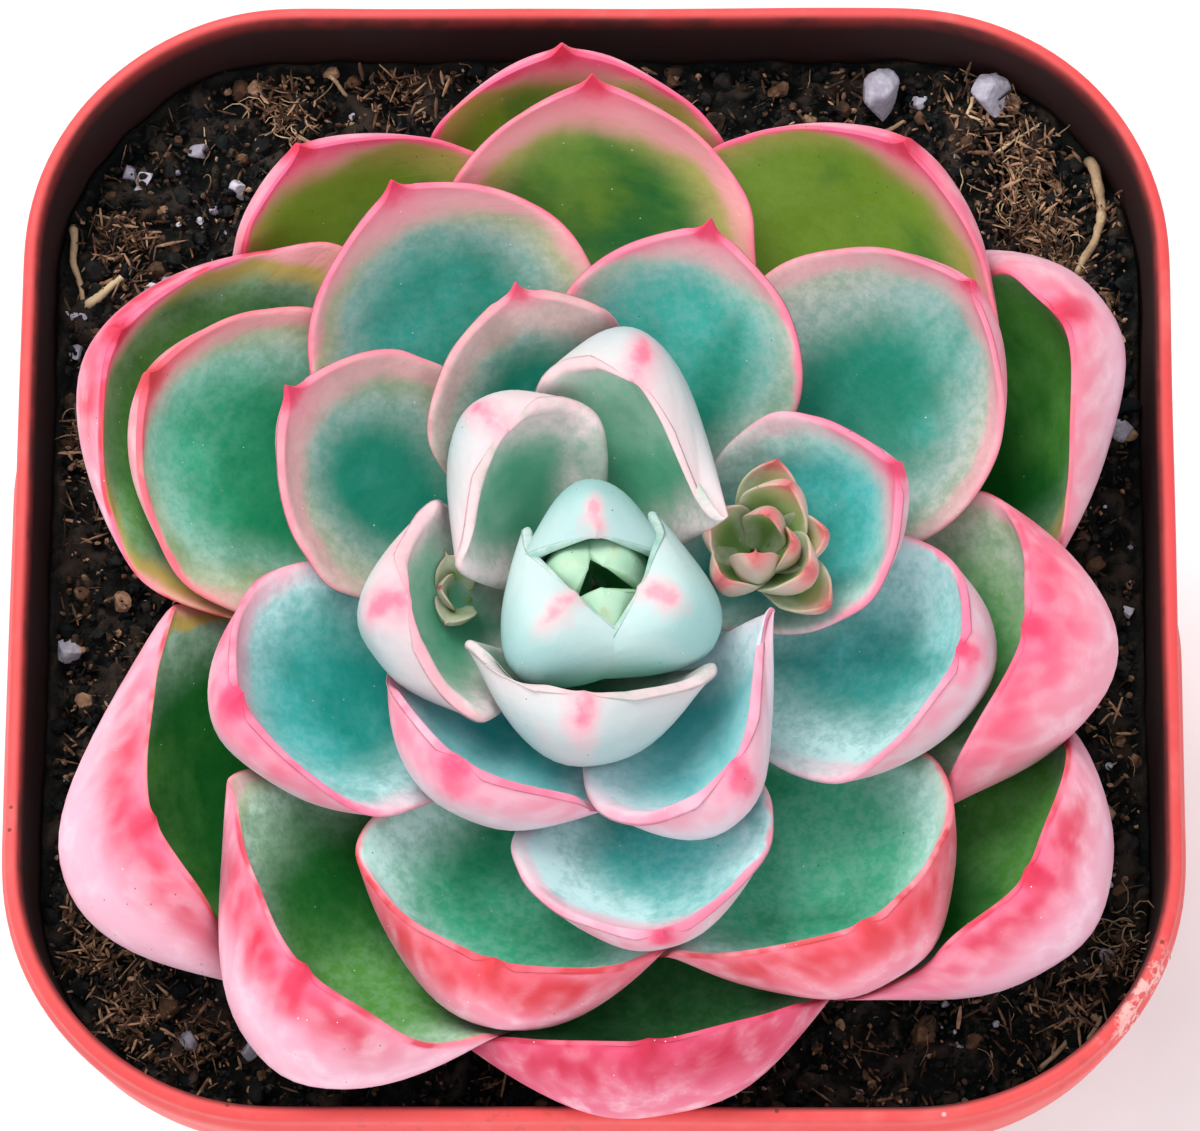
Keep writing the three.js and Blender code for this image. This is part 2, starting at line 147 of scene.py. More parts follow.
for name, spot, size, power, colour in LIGHTS:
    lamp_data = bpy.data.lights.new(name, "AREA")
    lamp_data.shape = "DISK"
    lamp_data.size = size
    lamp_data.energy = power
    lamp_data.color = colour
    lamp = bpy.data.objects.new(name, lamp_data)
    lamp.location = spot
    aim = CAMERA_AIM - lamp.location
    lamp.rotation_euler = aim.to_track_quat("-Z", "Y").to_euler()
    bpy.context.scene.collection.objects.link(lamp)
world = bpy.data.worlds.new("studio")
world.use_nodes = True
background = world.node_tree.nodes["Background"]
background.inputs["Color"].default_value = SKY
background.inputs["Strength"].default_value = SKY_STRENGTH
bpy.context.scene.world = world

# Pot: one thin wall of injection-moulded coral plastic, with a rolled rim, a deeper
# collar under it for stacking, a proud shoulder round its front half, and four drain
# holes. Its inside is painted dark with shade from the rim down, and dull with soil dust.
RIM_HALF = (cad_high.x - cad_low.x) / 2 - 0.45 * MM
RIM_CORNER = 20.5 * MM
BASE_HALF = 29.5 * MM
BASE_CORNER = 11 * MM
COLLAR_HALF = 43.9 * MM
COLLAR_CORNER = 19.9 * MM
COLLAR_DEPTH = 12 * MM
WALL = 1.1 * MM
FLOOR = 1.6 * MM
SHOULDER_PROUD = 0.58 * MM
SHOULDER_LEFT = 9 * MM
SHOULDER_RIGHT = -3.5 * MM
SHOULDER_FADE = 3 * MM
DRAIN_RADIUS = 3 * MM
DRAIN_OFFSET = 19 * MM
WARP_DEPTH = 0.08 * MM
WARP_SIZE = 14 * MM
SCUFFED_CORNER = (41 * MM, -35 * MM, RIM_TOP - 2 * MM)
CORNER_STEPS = 14
SIDE_STEPS = 22

# The wall's section, up the outside, over the rim and down the inside: steps outwards and
# up in millimetres from each part's edge, with the share of the shoulder's swell
RIM_LAND = 1.25
COLLAR_STEP = 0.9
FOOT_STEPS = [(-5, 0.9, 0), (-3.4, 0.8, 0), (-2.8, 0, 0), (-0.9, 0, 0), (-0.15, 0.5, 0), (0, 1.6, 0)]
WALL_SHARES = (0.06, 0.3, 0.6, 0.9, 0.97)
COLLAR_STEPS = [
    (-COLLAR_STEP, -0.45, 0), (-0.75 * COLLAR_STEP, -0.15, 0), (-0.1, 0, 0), (0, 0.35, 0), (0.15, 4, 0.3),
]
RIM_STEPS = [
    (-0.3, -4.2, 0.9), (-0.25, -3, 1), (-0.2, -2, 1), (-0.25, -1.55, 0.6), (-0.1, -1.2, 0.15),
    (0, -0.75, 0), (-0.04, -0.3, 0), (-0.25, -0.04, 0), (-0.6 * RIM_LAND, 0, 0),
    (-0.88 * RIM_LAND, -0.06, 0), (-RIM_LAND, -0.4, 0), (-RIM_LAND, -1.2, 0),
]
COLLAR_INSIDE = [(0, 1.2, 0), (-0.2, 0.6, 0), (-COLLAR_STEP, -0.8, 0), (-1.2 * COLLAR_STEP, -2, 0)]
FLOOR_EDGE = [(0.3, 1.2, 0), (-0.4, 0, 0)]


def sums(tree, operation, a, b=0.0, c=0.0, clamp=False):
    """The result of one step of arithmetic on numbers or sockets."""
    made = node(tree, "ShaderNodeMath", {0: a, 1: b, 2: c}, operation=operation, use_clamp=clamp)
    return made.outputs[0]


def product(tree, *factors, clamp=False):
    """Numbers or sockets multiplied in turn, held between 0 and 1 if clamp is set."""
    result = factors[0]
    for factor in factors[1:-1]:
        result = sums(tree, "MULTIPLY", result, factor)
    return sums(tree, "MULTIPLY", result, factors[-1], clamp=clamp)


def fade(tree, value, start, end, low=0.0, high=1.0):
    """A soft step from low to high as value goes from start to end."""
    made = node(
        tree,
        "ShaderNodeMapRange",
        {"Value": value, "From Min": start, "From Max": end, "To Min": low, "To Max": high},
        interpolation_type="SMOOTHSTEP",
    )
    return made.outputs[0]


def bump(tree, height, depth):
    """A normal from a height of 0 to 1 that stands for depth metres."""
    made = node(tree, "ShaderNodeBump", {"Height": height, "Strength": 1.0, "Distance": depth})
    return made.outputs[0]


def points_of(piece):
    """The places of a piece's points, one row each."""
    flat = np.zeros(len(piece.data.vertices) * 3)
    piece.data.vertices.foreach_get("co", flat)
    return flat.reshape(-1, 3)


def normals_of(piece):
    """The way each of a piece's points faces, one row each."""
    flat = np.zeros(len(piece.data.vertices) * 3)
    piece.data.vertex_normals.foreach_get("vector", flat)
    return flat.reshape(-1, 3)


def mark(piece, name, values):
    """Writes a number on each point of a piece, for its material to read."""
    layer = piece.data.attributes.new(name, "FLOAT", "POINT")
    layer.data.foreach_set("value", np.asarray(values, np.float32))


def read_mark(tree, name):
    """The number that mark() wrote, in a material."""
    return node(tree, "ShaderNodeAttribute", attribute_name=name).outputs["Fac"]


def new_group(name, inputs, outputs):
    """A node group with its sockets, and what comes in and what goes out inside it."""
    tree = bpy.data.node_groups.new(name, "ShaderNodeTree")
    for label, kind in inputs.items():
        tree.interface.new_socket(label, in_out="INPUT", socket_type="NodeSocket" + kind)
    for label, kind in outputs.items():
        tree.interface.new_socket(label, in_out="OUTPUT", socket_type="NodeSocket" + kind)
    return tree, node(tree, "NodeGroupInput").outputs, node(tree, "NodeGroupOutput").inputs


# Flecks: a dot in a share of the cells of a lattice, for specks, dust and scars
fleck_tree, given, made = new_group(
    "flecks", {"Place": "Vector", "Cell": "Float", "Share": "Float", "Dot": "Float"}, {"Mask": "Float"}
)
cells = node(
    fleck_tree,
    "ShaderNodeTexVoronoi",
    {"Vector": given["Place"], "Scale": sums(fleck_tree, "DIVIDE", 1.0, given["Cell"])},
)
chance = node(fleck_tree, "ShaderNodeSeparateColor", {"Color": cells.outputs["Color"]}).outputs[0]
chosen = sums(fleck_tree, "LESS_THAN", chance, given["Share"])
core = sums(fleck_tree, "MULTIPLY", given["Dot"], 0.6)
round_dot = fade(fleck_tree, cells.outputs["Distance"], given["Dot"], core)
fleck_tree.links.new(sums(fleck_tree, "MULTIPLY", chosen, round_dot), made["Mask"])


def flecks(tree, place, cell, share, dot):
    """A mask of dots: cell is their spacing in metres, dot their radius in cells."""
    values = {"Place": place, "Cell": cell, "Share": share, "Dot": dot}
    return node(tree, "ShaderNodeGroup", values, node_tree=fleck_tree).outputs["Mask"]


def square_ring(half, corner, z, proud=0.0):
    """Points round a square with rounded corners, anticlockwise from the +X side."""
    flat = half - corner
    points = []
    for quarter in range(4):
        turn = quarter * math.pi / 2
        for step in range(SIDE_STEPS):
            points.append((half, flat * (2 * step / SIDE_STEPS - 1), turn, 0.0))
        for step in range(CORNER_STEPS):
            angle = step / CORNER_STEPS * math.pi / 2
            points.append((flat + corner * math.cos(angle), flat + corner * math.sin(angle), turn, angle))
    ring = []
    for x, y, turn, angle in points:
        cosine, sine = math.cos(turn), math.sin(turn)
        place = Vector((x * cosine - y * sine, x * sine + y * cosine, z))
        out = Vector((math.cos(turn + angle), math.sin(turn + angle), 0))
        start = SHOULDER_LEFT if place.x < 0 else SHOULDER_RIGHT
        share = min(max((start - place.y) / SHOULDER_FADE, 0), 1)
        ring.append(place + out * proud * share * share * (3 - 2 * share))
    return ring


def stepped(half, corner, level, steps):
    """Rings of the wall's section: half width, corner, height and swell after each step."""
    return [(half + out * MM, corner + out * MM, level + up * MM, proud) for out, up, proud in steps]


def by_angle(places):
    """The numbers of the places in order round the pot's axis."""
    return sorted(range(len(places)), key=lambda i: math.atan2(places[i].y, places[i].x))


def pull_up_wall(name, rings):
    """A wall drawn up ring by ring from a circle, as a sleeve open at both ends."""
    bpy.ops.object.select_all(action="DESELECT")
    bpy.ops.mesh.primitive_circle_add(vertices=len(rings[0]), radius=BASE_HALF, fill_type="NOTHING")
    sleeve = bpy.context.object
    sleeve.name = name
    for number, ring in enumerate(rings):
        bpy.ops.object.mode_set(mode="EDIT")
        if number:
            bpy.ops.mesh.extrude_region_move()
        else:
            bpy.ops.mesh.select_all(action="SELECT")
        bpy.ops.object.mode_set(mode="OBJECT")
        drawn = [v for v in sleeve.data.vertices if v.select]
        order = by_angle([v.co for v in drawn])
        for i, j in zip(order, by_angle(ring)):
            drawn[i].co = ring[j]
    return sleeve


def wobble(point, amount, size, seed):
    """A smooth push from side to side, as handling and moulding leave."""
    place = point / size + Vector((seed, 0, 0))
    return Vector([noise.noise(place + Vector((shift, 0, 0))) for shift in (0, 9.3, 17.1)]) * amount


collar_foot = RIM_TOP - COLLAR_DEPTH
top_half = COLLAR_HALF - COLLAR_STEP * MM
top_corner = COLLAR_CORNER - COLLAR_STEP * MM
section = stepped(BASE_HALF, BASE_CORNER, 0, FOOT_STEPS)
for share in WALL_SHARES:
    half = BASE_HALF + (top_half - BASE_HALF) * share
    corner = BASE_CORNER + (top_corner - BASE_CORNER) * share
    section.append((half, corner, collar_foot * share, 0))
section += stepped(COLLAR_HALF, COLLAR_CORNER, collar_foot, COLLAR_STEPS)
section += stepped(RIM_HALF, RIM_CORNER, RIM_TOP, RIM_STEPS)
section += stepped(COLLAR_HALF - WALL, COLLAR_CORNER - WALL, collar_foot, COLLAR_INSIDE)
section += stepped(BASE_HALF - WALL, BASE_CORNER - WALL, FLOOR, FLOOR_EDGE)
rings = [square_ring(half, corner, z, proud * SHOULDER_PROUD) for half, corner, z, proud in section]
pot = pull_up_wall("pot_shell", rings)
subdivision = pot.modifiers.new("smooth_moulding", "SUBSURF")
subdivision.levels = subdivision.render_levels = 1
bpy.ops.object.modifier_apply(modifier=subdivision.name)
bpy.ops.object.mode_set(mode="EDIT")
bpy.ops.mesh.select_all(action="SELECT")
bpy.ops.mesh.fill_holes(sides=0)
bpy.ops.mesh.normals_make_consistent(inside=False)
bpy.ops.object.mode_set(mode="OBJECT")
for vertex in pot.data.vertices:
    vertex.co += wobble(vertex.co, WARP_DEPTH, WARP_SIZE, 3) * (vertex.co.z / RIM_TOP)
for side_x, side_y in ((1, 1), (-1, 1), (-1, -1), (1, -1)):
    bpy.ops.mesh.primitive_cylinder_add(
        vertices=32,
        radius=DRAIN_RADIUS,
        depth=4 * FLOOR,
        location=(side_x * DRAIN_OFFSET, side_y * DRAIN_OFFSET, 0),
    )
    drill = bpy.context.object
    bpy.ops.object.select_all(action="DESELECT")
    pot.select_set(True)
    bpy.context.view_layer.objects.active = pot
    cut = pot.modifiers.new("drain_hole", "BOOLEAN")
    cut.object = drill
    cut.solver = "MANIFOLD"
    bpy.ops.object.modifier_apply(modifier=cut.name)
    bpy.data.objects.remove(drill)
pot.data.materials.clear()
pot.data.polygons.foreach_set("material_index", [0] * len(pot.data.polygons))
bpy.ops.object.shade_smooth_by_angle(angle=math.radians(38))

body = points_of(pot)[:, :2]
outward = np.sum(normals_of(pot)[:, :2] * body, axis=1) / np.linalg.norm(body, axis=1)
mark(pot, "inside", np.clip(-2 * outward, 0, 1))

coral, tree, shader, place = new_material("coral_plastic")
inside = read_mark(tree, "inside")
height = node(tree, "ShaderNodeSeparateXYZ", {"Vector": place}).outputs["Z"]
broad = cloud(tree, place, 16 * MM, 3)
dusty = cloud(tree, place, 3 * MM, 3, 0.65)
grime = cloud(tree, place, 0.7 * MM, 3, 0.7)
paint = tint(tree, fade(tree, broad, 0.3, 0.7), (0.68, 0.060, 0.060, 1), (0.76, 0.078, 0.076, 1))
paint = tint(tree, fade(tree, dusty, 0.50, 0.80, 0, 0.20), paint, (0.95, 0.36, 0.33, 1))
soiled = product(tree, fade(tree, broad, 0.45, 0.75), fade(tree, grime, 0.52, 0.68), clamp=True)
paint = tint(tree, product(tree, soiled, 0.45), paint, (0.16, 0.055, 0.045, 1))
specks = flecks(tree, place, 1.7 * MM, 0.16, 0.13)
paint = tint(tree, product(tree, specks, 0.75), paint, (0.045, 0.02, 0.016, 1))
pale_specks = flecks(tree, place, 2.9 * MM, 0.14, 0.08)
paint = tint(tree, product(tree, pale_specks, 0.6), paint, (0.95, 0.62, 0.58, 1))
from_corner = node(tree, "ShaderNodeVectorMath", {0: place, 1: SCUFFED_CORNER}, operation="DISTANCE")
near_corner = fade(tree, from_corner.outputs["Value"], 6 * MM, 2 * MM)
chipped = product(tree, near_corner, fade(tree, grime, 0.46, 0.56))
paint = tint(tree, product(tree, chipped, 0.8), paint, (0.93, 0.50, 0.46, 1))
# Painted shade: the inside wall goes from dark coral at the rim to near black 2 mm lower, with real soil
# dust mixed over it
depth_in = fade(tree, height, RIM_TOP - 0.2 * MM, RIM_TOP - 2.2 * MM)
shadowed = tint(tree, depth_in, (0.28, 0.034, 0.032, 1), (0.036, 0.010, 0.010, 1))
shadowed = tint(tree, fade(tree, dusty, 0.4, 0.65, 0, 0.6), shadowed, (0.028, 0.016, 0.014, 1))
paint = tint(tree, inside, paint, shadowed)
tree.links.new(paint, shader.inputs["Base Color"])
satin = fade(tree, dusty, 0.3, 0.75, 0.42, 0.60)
tree.links.new(sums(tree, "MULTIPLY_ADD", inside, 0.35, satin), shader.inputs["Roughness"])
relief = sums(tree, "MULTIPLY_ADD", grime, 0.5, product(tree, specks, 1.5))
relief = sums(tree, "MULTIPLY_ADD", chipped, 2.0, relief)
tree.links.new(bump(tree, relief, 0.05 * MM), shader.inputs["Normal"])
shader.inputs["Specular IOR Level"].default_value = 0.35
pot.data.materials.append(coral)
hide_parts("pot")
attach(pot, "root")

# Soil: one filling of dark peaty mix, pressed into the pot and a little sunken, with a
# rough broken face that rises towards the back wall. Its sizes are in millimetres.
SOIL_LEVEL = RIM_TOP / MM - 9.8
SOIL_GAP = 0.3
SOIL_CELLS = 250
BACK_REACH = 44.5
BACK_RISE = 2.8
HIGHEST_LUMP = 1.1
SETTLING = 60
SOIL_LUMPS = ((3.0, 1.1), (1.3, 0.9), (0.65, 0.5))
INSIDE_RINGS = [(42.8, 18.8, 58.8), (41.9, 17.9, 56.8), (28.4, 9.9, 1.6)]
OPEN_HALF, OPEN_CORNER = INSIDE_RINGS[0][0] - SOIL_GAP, INSIDE_RINGS[0][1] - SOIL_GAP


def set_points(piece, points):
    """Moves a piece's points to new places."""
    piece.data.vertices.foreach_set("co", np.asarray(points, float).ravel())
    piece.data.update()


def into_rounded_square(u, v, half, corner):
    """Points of the square from -1 to 1, moved into a square with rounded corners."""
    ring = np.maximum(np.abs(u), np.abs(v))
    turn = np.arctan2(v, u)
    from_diagonal = np.abs(turn % (math.pi / 2) - math.pi / 4)
    from_axis = math.pi / 4 - from_diagonal
    diagonal = (half - corner) * math.sqrt(2)
    bulge = np.sqrt(np.maximum(corner**2 - (diagonal * np.sin(from_diagonal)) ** 2, 0))
    curved = diagonal * np.cos(from_diagonal) + bulge
    straight = half / np.cos(from_axis)
    reach = np.where(half * np.tan(from_axis) <= half - corner, straight, curved)
    return ring * reach * np.cos(turn), ring * reach * np.sin(turn)


def ground(x, y):
    """The soil's height in millimetres at places given in millimetres."""
    rolling = 0.7 * np.sin(0.31 * x + 1.3) * np.cos(0.27 * y - 0.6)
    lumps = 0.45 * np.sin(0.93 * x + 0.41 * y) * np.sin(1.07 * y - 0.35 * x + 2)
    return SOIL_LEVEL + rolling + lumps + BACK_RISE * (np.maximum(y, 0) / BACK_REACH) ** 2


bpy.ops.object.select_all(action="DESELECT")
bpy.ops.mesh.primitive_grid_add(x_subdivisions=SOIL_CELLS, y_subdivisions=SOIL_CELLS, size=2)
soil = bpy.context.object
soil.name = "peat_filling"
flat = points_of(soil)
across, along = into_rounded_square(flat[:, 0], flat[:, 1], OPEN_HALF, OPEN_CORNER)
inner = 1 - np.max(np.abs(flat[:, :2]), axis=1)
relief = np.zeros(len(flat))
for size, height in SOIL_LUMPS:
    grains = [noise.noise(Vector((x / size, y / size, 4.7 * size))) for x, y in zip(across, along)]
    relief += height * np.array(grains)
settled = np.minimum(inner * SETTLING, 1)
heights = ground(across, along) + np.minimum(relief * settled, HIGHEST_LUMP)
set_points(soil, np.column_stack((across, along, heights)) * MM)
# The lumps' height is kept for the painted highlight on the raised lumps
mark(soil, "peak_highlight", relief)
bpy.ops.object.mode_set(mode="EDIT")
bpy.ops.mesh.select_all(action="SELECT")
bpy.ops.mesh.region_to_loop()
for half, corner, level in INSIDE_RINGS:
    bpy.ops.mesh.extrude_region_move()
    bpy.ops.object.mode_set(mode="OBJECT")
    places = points_of(soil)
    drawn = np.array([v.index for v in soil.data.vertices if v.select])
    ring_u, ring_v = places[drawn, 0], places[drawn, 1]
    turn = np.arctan2(ring_v, ring_u)
    largest = np.maximum(np.abs(np.cos(turn)), np.abs(np.sin(turn)))
    square_u, square_v = np.cos(turn) / largest, np.sin(turn) / largest
    x, y = into_rounded_square(square_u, square_v, half - SOIL_GAP, corner - SOIL_GAP)
    places[drawn] = np.column_stack((x, y, np.full(len(x), level + SOIL_GAP * 0.2))) * MM
    set_points(soil, places)
    bpy.ops.object.mode_set(mode="EDIT")
bpy.ops.mesh.select_all(action="SELECT")
bpy.ops.mesh.fill_holes(sides=0)
bpy.ops.mesh.normals_make_consistent(inside=False)
bpy.ops.object.mode_set(mode="OBJECT")
bpy.ops.object.shade_smooth()

peat, tree, shader, place = new_material("peat")
coarse = cloud(tree, place, 4 * MM, 2, 0.6)
crumbly = cloud(tree, place, 0.6 * MM, 3, 0.75)
paint = tint(tree, fade(tree, coarse, 0.35, 0.65), (0.003, 0.005, 0.005, 1), (0.016, 0.015, 0.013, 1))
# Painted highlight: the soil's raised lumps are painted lighter brown than its pits, with fine crumbly
# noise mixed in
peak_highlight = sums(tree, "ADD", read_mark(tree, "peak_highlight"), sums(tree, "SUBTRACT", crumbly, 0.5))
paint = tint(tree, fade(tree, peak_highlight, 0.05, 0.50, 0.0, 0.8), paint, (0.045, 0.032, 0.024, 1))
paint = tint(tree, flecks(tree, place, 1.6 * MM, 0.07, 0.09), paint, (0.55, 0.53, 0.56, 1))
tree.links.new(paint, shader.inputs["Base Color"])
tree.links.new(fade(tree, crumbly, 0.3, 0.7, 0.95, 0.62), shader.inputs["Roughness"])
tree.links.new(bump(tree, crumbly, 0.35 * MM), shader.inputs["Normal"])
shader.inputs["Specular IOR Level"].default_value = 0.15
soil.data.materials.append(peat)
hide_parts("soil")
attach(soil, "root")

# Crumbs and grit: peat and bark broken fine, lying loose on the filling. Each lump is a
# ball with pieces cut off it, and none lies in the middle, which the leaves hide.
CRUMBS = 2300
GRIT = 9000
PEAT_TONES = [
    (0.003, 0.005, 0.006, 1), (0.018, 0.018, 0.017, 1), (0.13, 0.066, 0.036, 1), (0.56, 0.33, 0.20, 1),
]


def ball_points(steps):
    """The points and faces of a unit ball of triangles."""
    bpy.ops.object.select_all(action="DESELECT")
    bpy.ops.mesh.primitive_ico_sphere_add(subdivisions=steps, radius=1)
    ball = bpy.context.object
    points = points_of(ball)
    faces = np.array([list(face.vertices) for face in ball.data.polygons])
    bpy.data.objects.remove(ball)
    return points, faces


def mesh_piece(name, points, faces, material, smooth=False):
    """A piece from points in millimetres and faces, riding on the object."""
    mesh = bpy.data.meshes.new(name)
    mesh.from_pydata((np.asarray(points) * MM).tolist(), [], [list(map(int, face)) for face in faces])
    mesh.polygons.foreach_set("use_smooth", [smooth] * len(mesh.polygons))
    mesh.materials.append(material)
    piece = bpy.data.objects.new(name, mesh)
    bpy.context.scene.collection.objects.link(piece)
    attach(piece, "root")
    return piece


def turned(chance, flat=1.0):
    """A random turn as three axes; flat near 0 keeps the third axis nearly upright."""
    up = np.array((chance.normal() * flat, chance.normal() * flat, 1.0 if flat < 1 else chance.normal()))
    up /= np.linalg.norm(up)
    side = np.cross(up, chance.normal(size=3))
    side /= np.linalg.norm(side)
    return np.array((side, np.cross(up, side), up))


def lumps(name, steps, seed, spots, material, slot, cuts=6, smooth=False):
    """Chipped lumps as one piece; a spot is (x, y, z, three half sizes, flatness, tone)."""
    chance = np.random.default_rng(seed)
    ball, ball_faces = ball_points(steps)
    points, faces, tones = [], [], []
    for x, y, z, sizes, flatness, tone in spots:
        lump = ball * (1 + 0.10 * chance.normal(size=(len(ball), 1)) / steps)
        for _ in range(cuts):
            towards = chance.normal(size=3)
            towards /= np.linalg.norm(towards)
            over = np.maximum(lump @ towards - chance.uniform(0.45, 0.85), 0)
            lump = lump - over[:, None] * towards
        lump = (lump * np.array(sizes)) @ turned(chance, flatness)
        faces.append(ball_faces + sum(map(len, points)))
        points.append(lump + np.array((x, y, z)))
        tones.append(np.full(len(ball), tone))
    piece = mesh_piece(name, np.concatenate(points), np.concatenate(faces), material, smooth)
    mark(piece, "tone", np.concatenate(tones))
    return piece


def open_places(chance, count, nearest=0.52, farthest=0.985):
    """Random places on the soil outside the middle, in millimetres."""
    places = []
    while len(places) < count:
        u, v = chance.uniform(-1, 1, 2)
        if nearest < max(abs(u), abs(v)) < farthest:
            x, y = into_rounded_square(np.array([u]), np.array([v]), OPEN_HALF, OPEN_CORNER)
            places.append((float(x[0]), float(y[0])))
    return places


def toned_material(name, colours, roughness, depth, grain=0.5 * MM):
    """A rough natural material whose colours follow its lumps' tone from 0 to 1."""
    material, tree, shader, place = new_material(name)
    shader.inputs["Specular IOR Level"].default_value = 0.25
    tone = read_mark(tree, "tone")
    uneven = cloud(tree, place, grain, 2, 0.7)
    mixed = sums(tree, "MULTIPLY_ADD", sums(tree, "SUBTRACT", uneven, 0.5), 0.7, tone)
    paint = colours[0]
    for number, colour in enumerate(colours[1:]):
        start = number / (len(colours) - 1)
        end = (number + 1) / (len(colours) - 1)
        paint = tint(tree, fade(tree, mixed, start, end), paint, colour)
    tree.links.new(paint, shader.inputs["Base Color"])
    shader.inputs["Roughness"].default_value = roughness
    if depth:
        tree.links.new(bump(tree, uneven, depth), shader.inputs["Normal"])
    return material


crumb_paint = toned_material("peat_crumbs", PEAT_TONES, 0.85, 0)
chance = np.random.default_rng(11)
spots = []
for x, y in open_places(chance, CRUMBS, 0.58):
    size = 0.20 + 0.85 * chance.random() ** 2.6
    sizes = size * chance.uniform(0.65, 1.2, 3)
    spots.append((x, y, ground(x, y) + 0.35 * size, sizes, 1.0, 0.9 * chance.random() ** 1.7))
lumps("soil_crumbs", 2, 12, spots, crumb_paint, "soil")

spots = []
for x, y in open_places(chance, GRIT, 0.60):
    size = 0.10 + 0.24 * chance.random() ** 1.5
    tone = 0.30 * chance.random() if chance.random() < 0.62 else 0.35 + 0.6 * chance.random() ** 2
    z = ground(x, y) + 0.35 + 0.4 * chance.random()
    spots.append((x, y, z, size * chance.uniform(0.6, 1.3, 3), 1.0, tone))
lumps("peat_grit", 1, 19, spots, crumb_paint, "soil", 1)

# Bark chips: flakes of bark and fibre, half of them loose and half heaped in brown clumps.
# The heaps that show most are listed, and get four times as many as the others.
CHIPS = 9000
SMALL_HEAPS = 74
HEAP_SPREAD = 1.5
CORNER_REACH = 1.72
BIG_HEAPS = [
    (34.4, 33.6), (34.8, 28.6), (36.0, 26.0), (33.2, 30.6), (-40.3, 11.9), (41.2, -30.0),
    (-38.3, -29.8), (-30.0, -36.5), (-35.3, -34.2), (-37.8, -26.4), (36.8, -33.6),
    (-24.6, 38.6), (-37.6, 27.5), (-16.5, 40.6),
]
spots = []
clumps = 4 * BIG_HEAPS + open_places(chance, SMALL_HEAPS, 0.66)
for number in range(CHIPS):
    x, y = open_places(chance, 1, 0.58)[0]
    tone, lift = 0.12 + 0.7 * chance.random() ** 1.6, 0.35
    if number % 2:
        clump_x, clump_y = clumps[number // 2 % len(clumps)]
        x, y = clump_x + HEAP_SPREAD * chance.normal(), clump_y + HEAP_SPREAD * chance.normal()
        tone, lift = 0.40 + 0.6 * chance.random(), 0.4 + 1.1 * chance.random()
    length = 0.30 + 1.1 * chance.random() ** 2
    sizes = (length, chance.uniform(0.05, 0.20), chance.uniform(0.05, 0.14))
    if max(abs(x), abs(y)) < OPEN_HALF - 1 and abs(x) + abs(y) < CORNER_REACH * OPEN_HALF:
        spots.append((x, y, ground(x, y) + lift, sizes, 1.2, tone))
lumps("bark_chips", 1, 13, spots, crumb_paint, "soil", 2)

# Perlite: white grains of puffed volcanic glass. Those that show are listed, by place and
# half size in millimetres, and small ones are strewn between.
PERLITE_CRUMBS = 130
GRAIN_TONES = [(0.24, 0.21, 0.28, 1), (0.44, 0.41, 0.50, 1), (0.74, 0.72, 0.80, 1)]
GRAINS = [
    (22.4, 39.6, 2.3), (25.4, 39.4, 0.8), (31.0, 39.0, 1.9), (-31.6, 35.1, 0.9), (-35.9, 33.0, 0.8),
    (-28.4, 32.1, 0.9), (-37.0, 33.6, 0.9), (-41.0, -5.4, 1.2), (-30.7, -36.3, 1.0), (-26.3, -37.0, 1.0),
    (41.3, 12.7, 1.1), (41.2, -2.3, 0.7), (39.1, -29.5, 0.8), (38.4, -31.0, 0.6), (-41.4, 21.5, 0.7),
    (-41.0, 19.0, 0.7), (-41.2, 15.0, 0.5), (-40.4, 21.7, 0.5), (-30.3, 30.5, 0.5), (-31.5, 29.6, 0.4),
    (39.6, -14.6, 0.4), (39.3, -24.1, 0.5), (28.3, 34.6, 0.5), (-36.3, 32.0, 0.5), (27.8, -36.6, 0.4),
    (-33.9, 24.6, 0.7), (-35.1, 23.9, 0.6), (-34.2, 23.3, 0.6), (-36.2, 21.7, 0.4), (-38.3, 20.6, 0.7),
]
grain_paint = toned_material("perlite", GRAIN_TONES, 0.80, 0.16 * MM, 0.35 * MM)
spots = []
for x, y, size in GRAINS:
    sizes = size * chance.uniform(0.82, 1.05, 3)
    spots.append((x, y, ground(x, y) + 0.45 * size, sizes, 1.0, chance.uniform(0.55, 1.0)))
lumps("perlite_grains", 4, 14, spots, grain_paint, "soil", 9, True)
spots = []
for x, y in open_places(chance, PERLITE_CRUMBS):
    size = 0.12 + 0.30 * chance.random() ** 2
    spots.append((x, y, ground(x, y) + 0.35, size * chance.uniform(0.7, 1.1, 3), 1.0, chance.random()))
lumps("perlite_dust", 2, 15, spots, grain_paint, "soil")

# Threads: dry moss and coconut fibre, each bent its own way and lying on the soil. They
# are round strands, drawn ring by ring along their routes.
THREADS = 150
THREAD_STEPS = 9
FIBRE_TONES = [(0.05, 0.03, 0.02, 1), (0.22, 0.13, 0.07, 1), (0.50, 0.34, 0.20, 1), (0.78, 0.60, 0.36, 1)]
fibre_paint = toned_material("dry_fibres", FIBRE_TONES, 0.70, 0.05 * MM, 0.3 * MM)


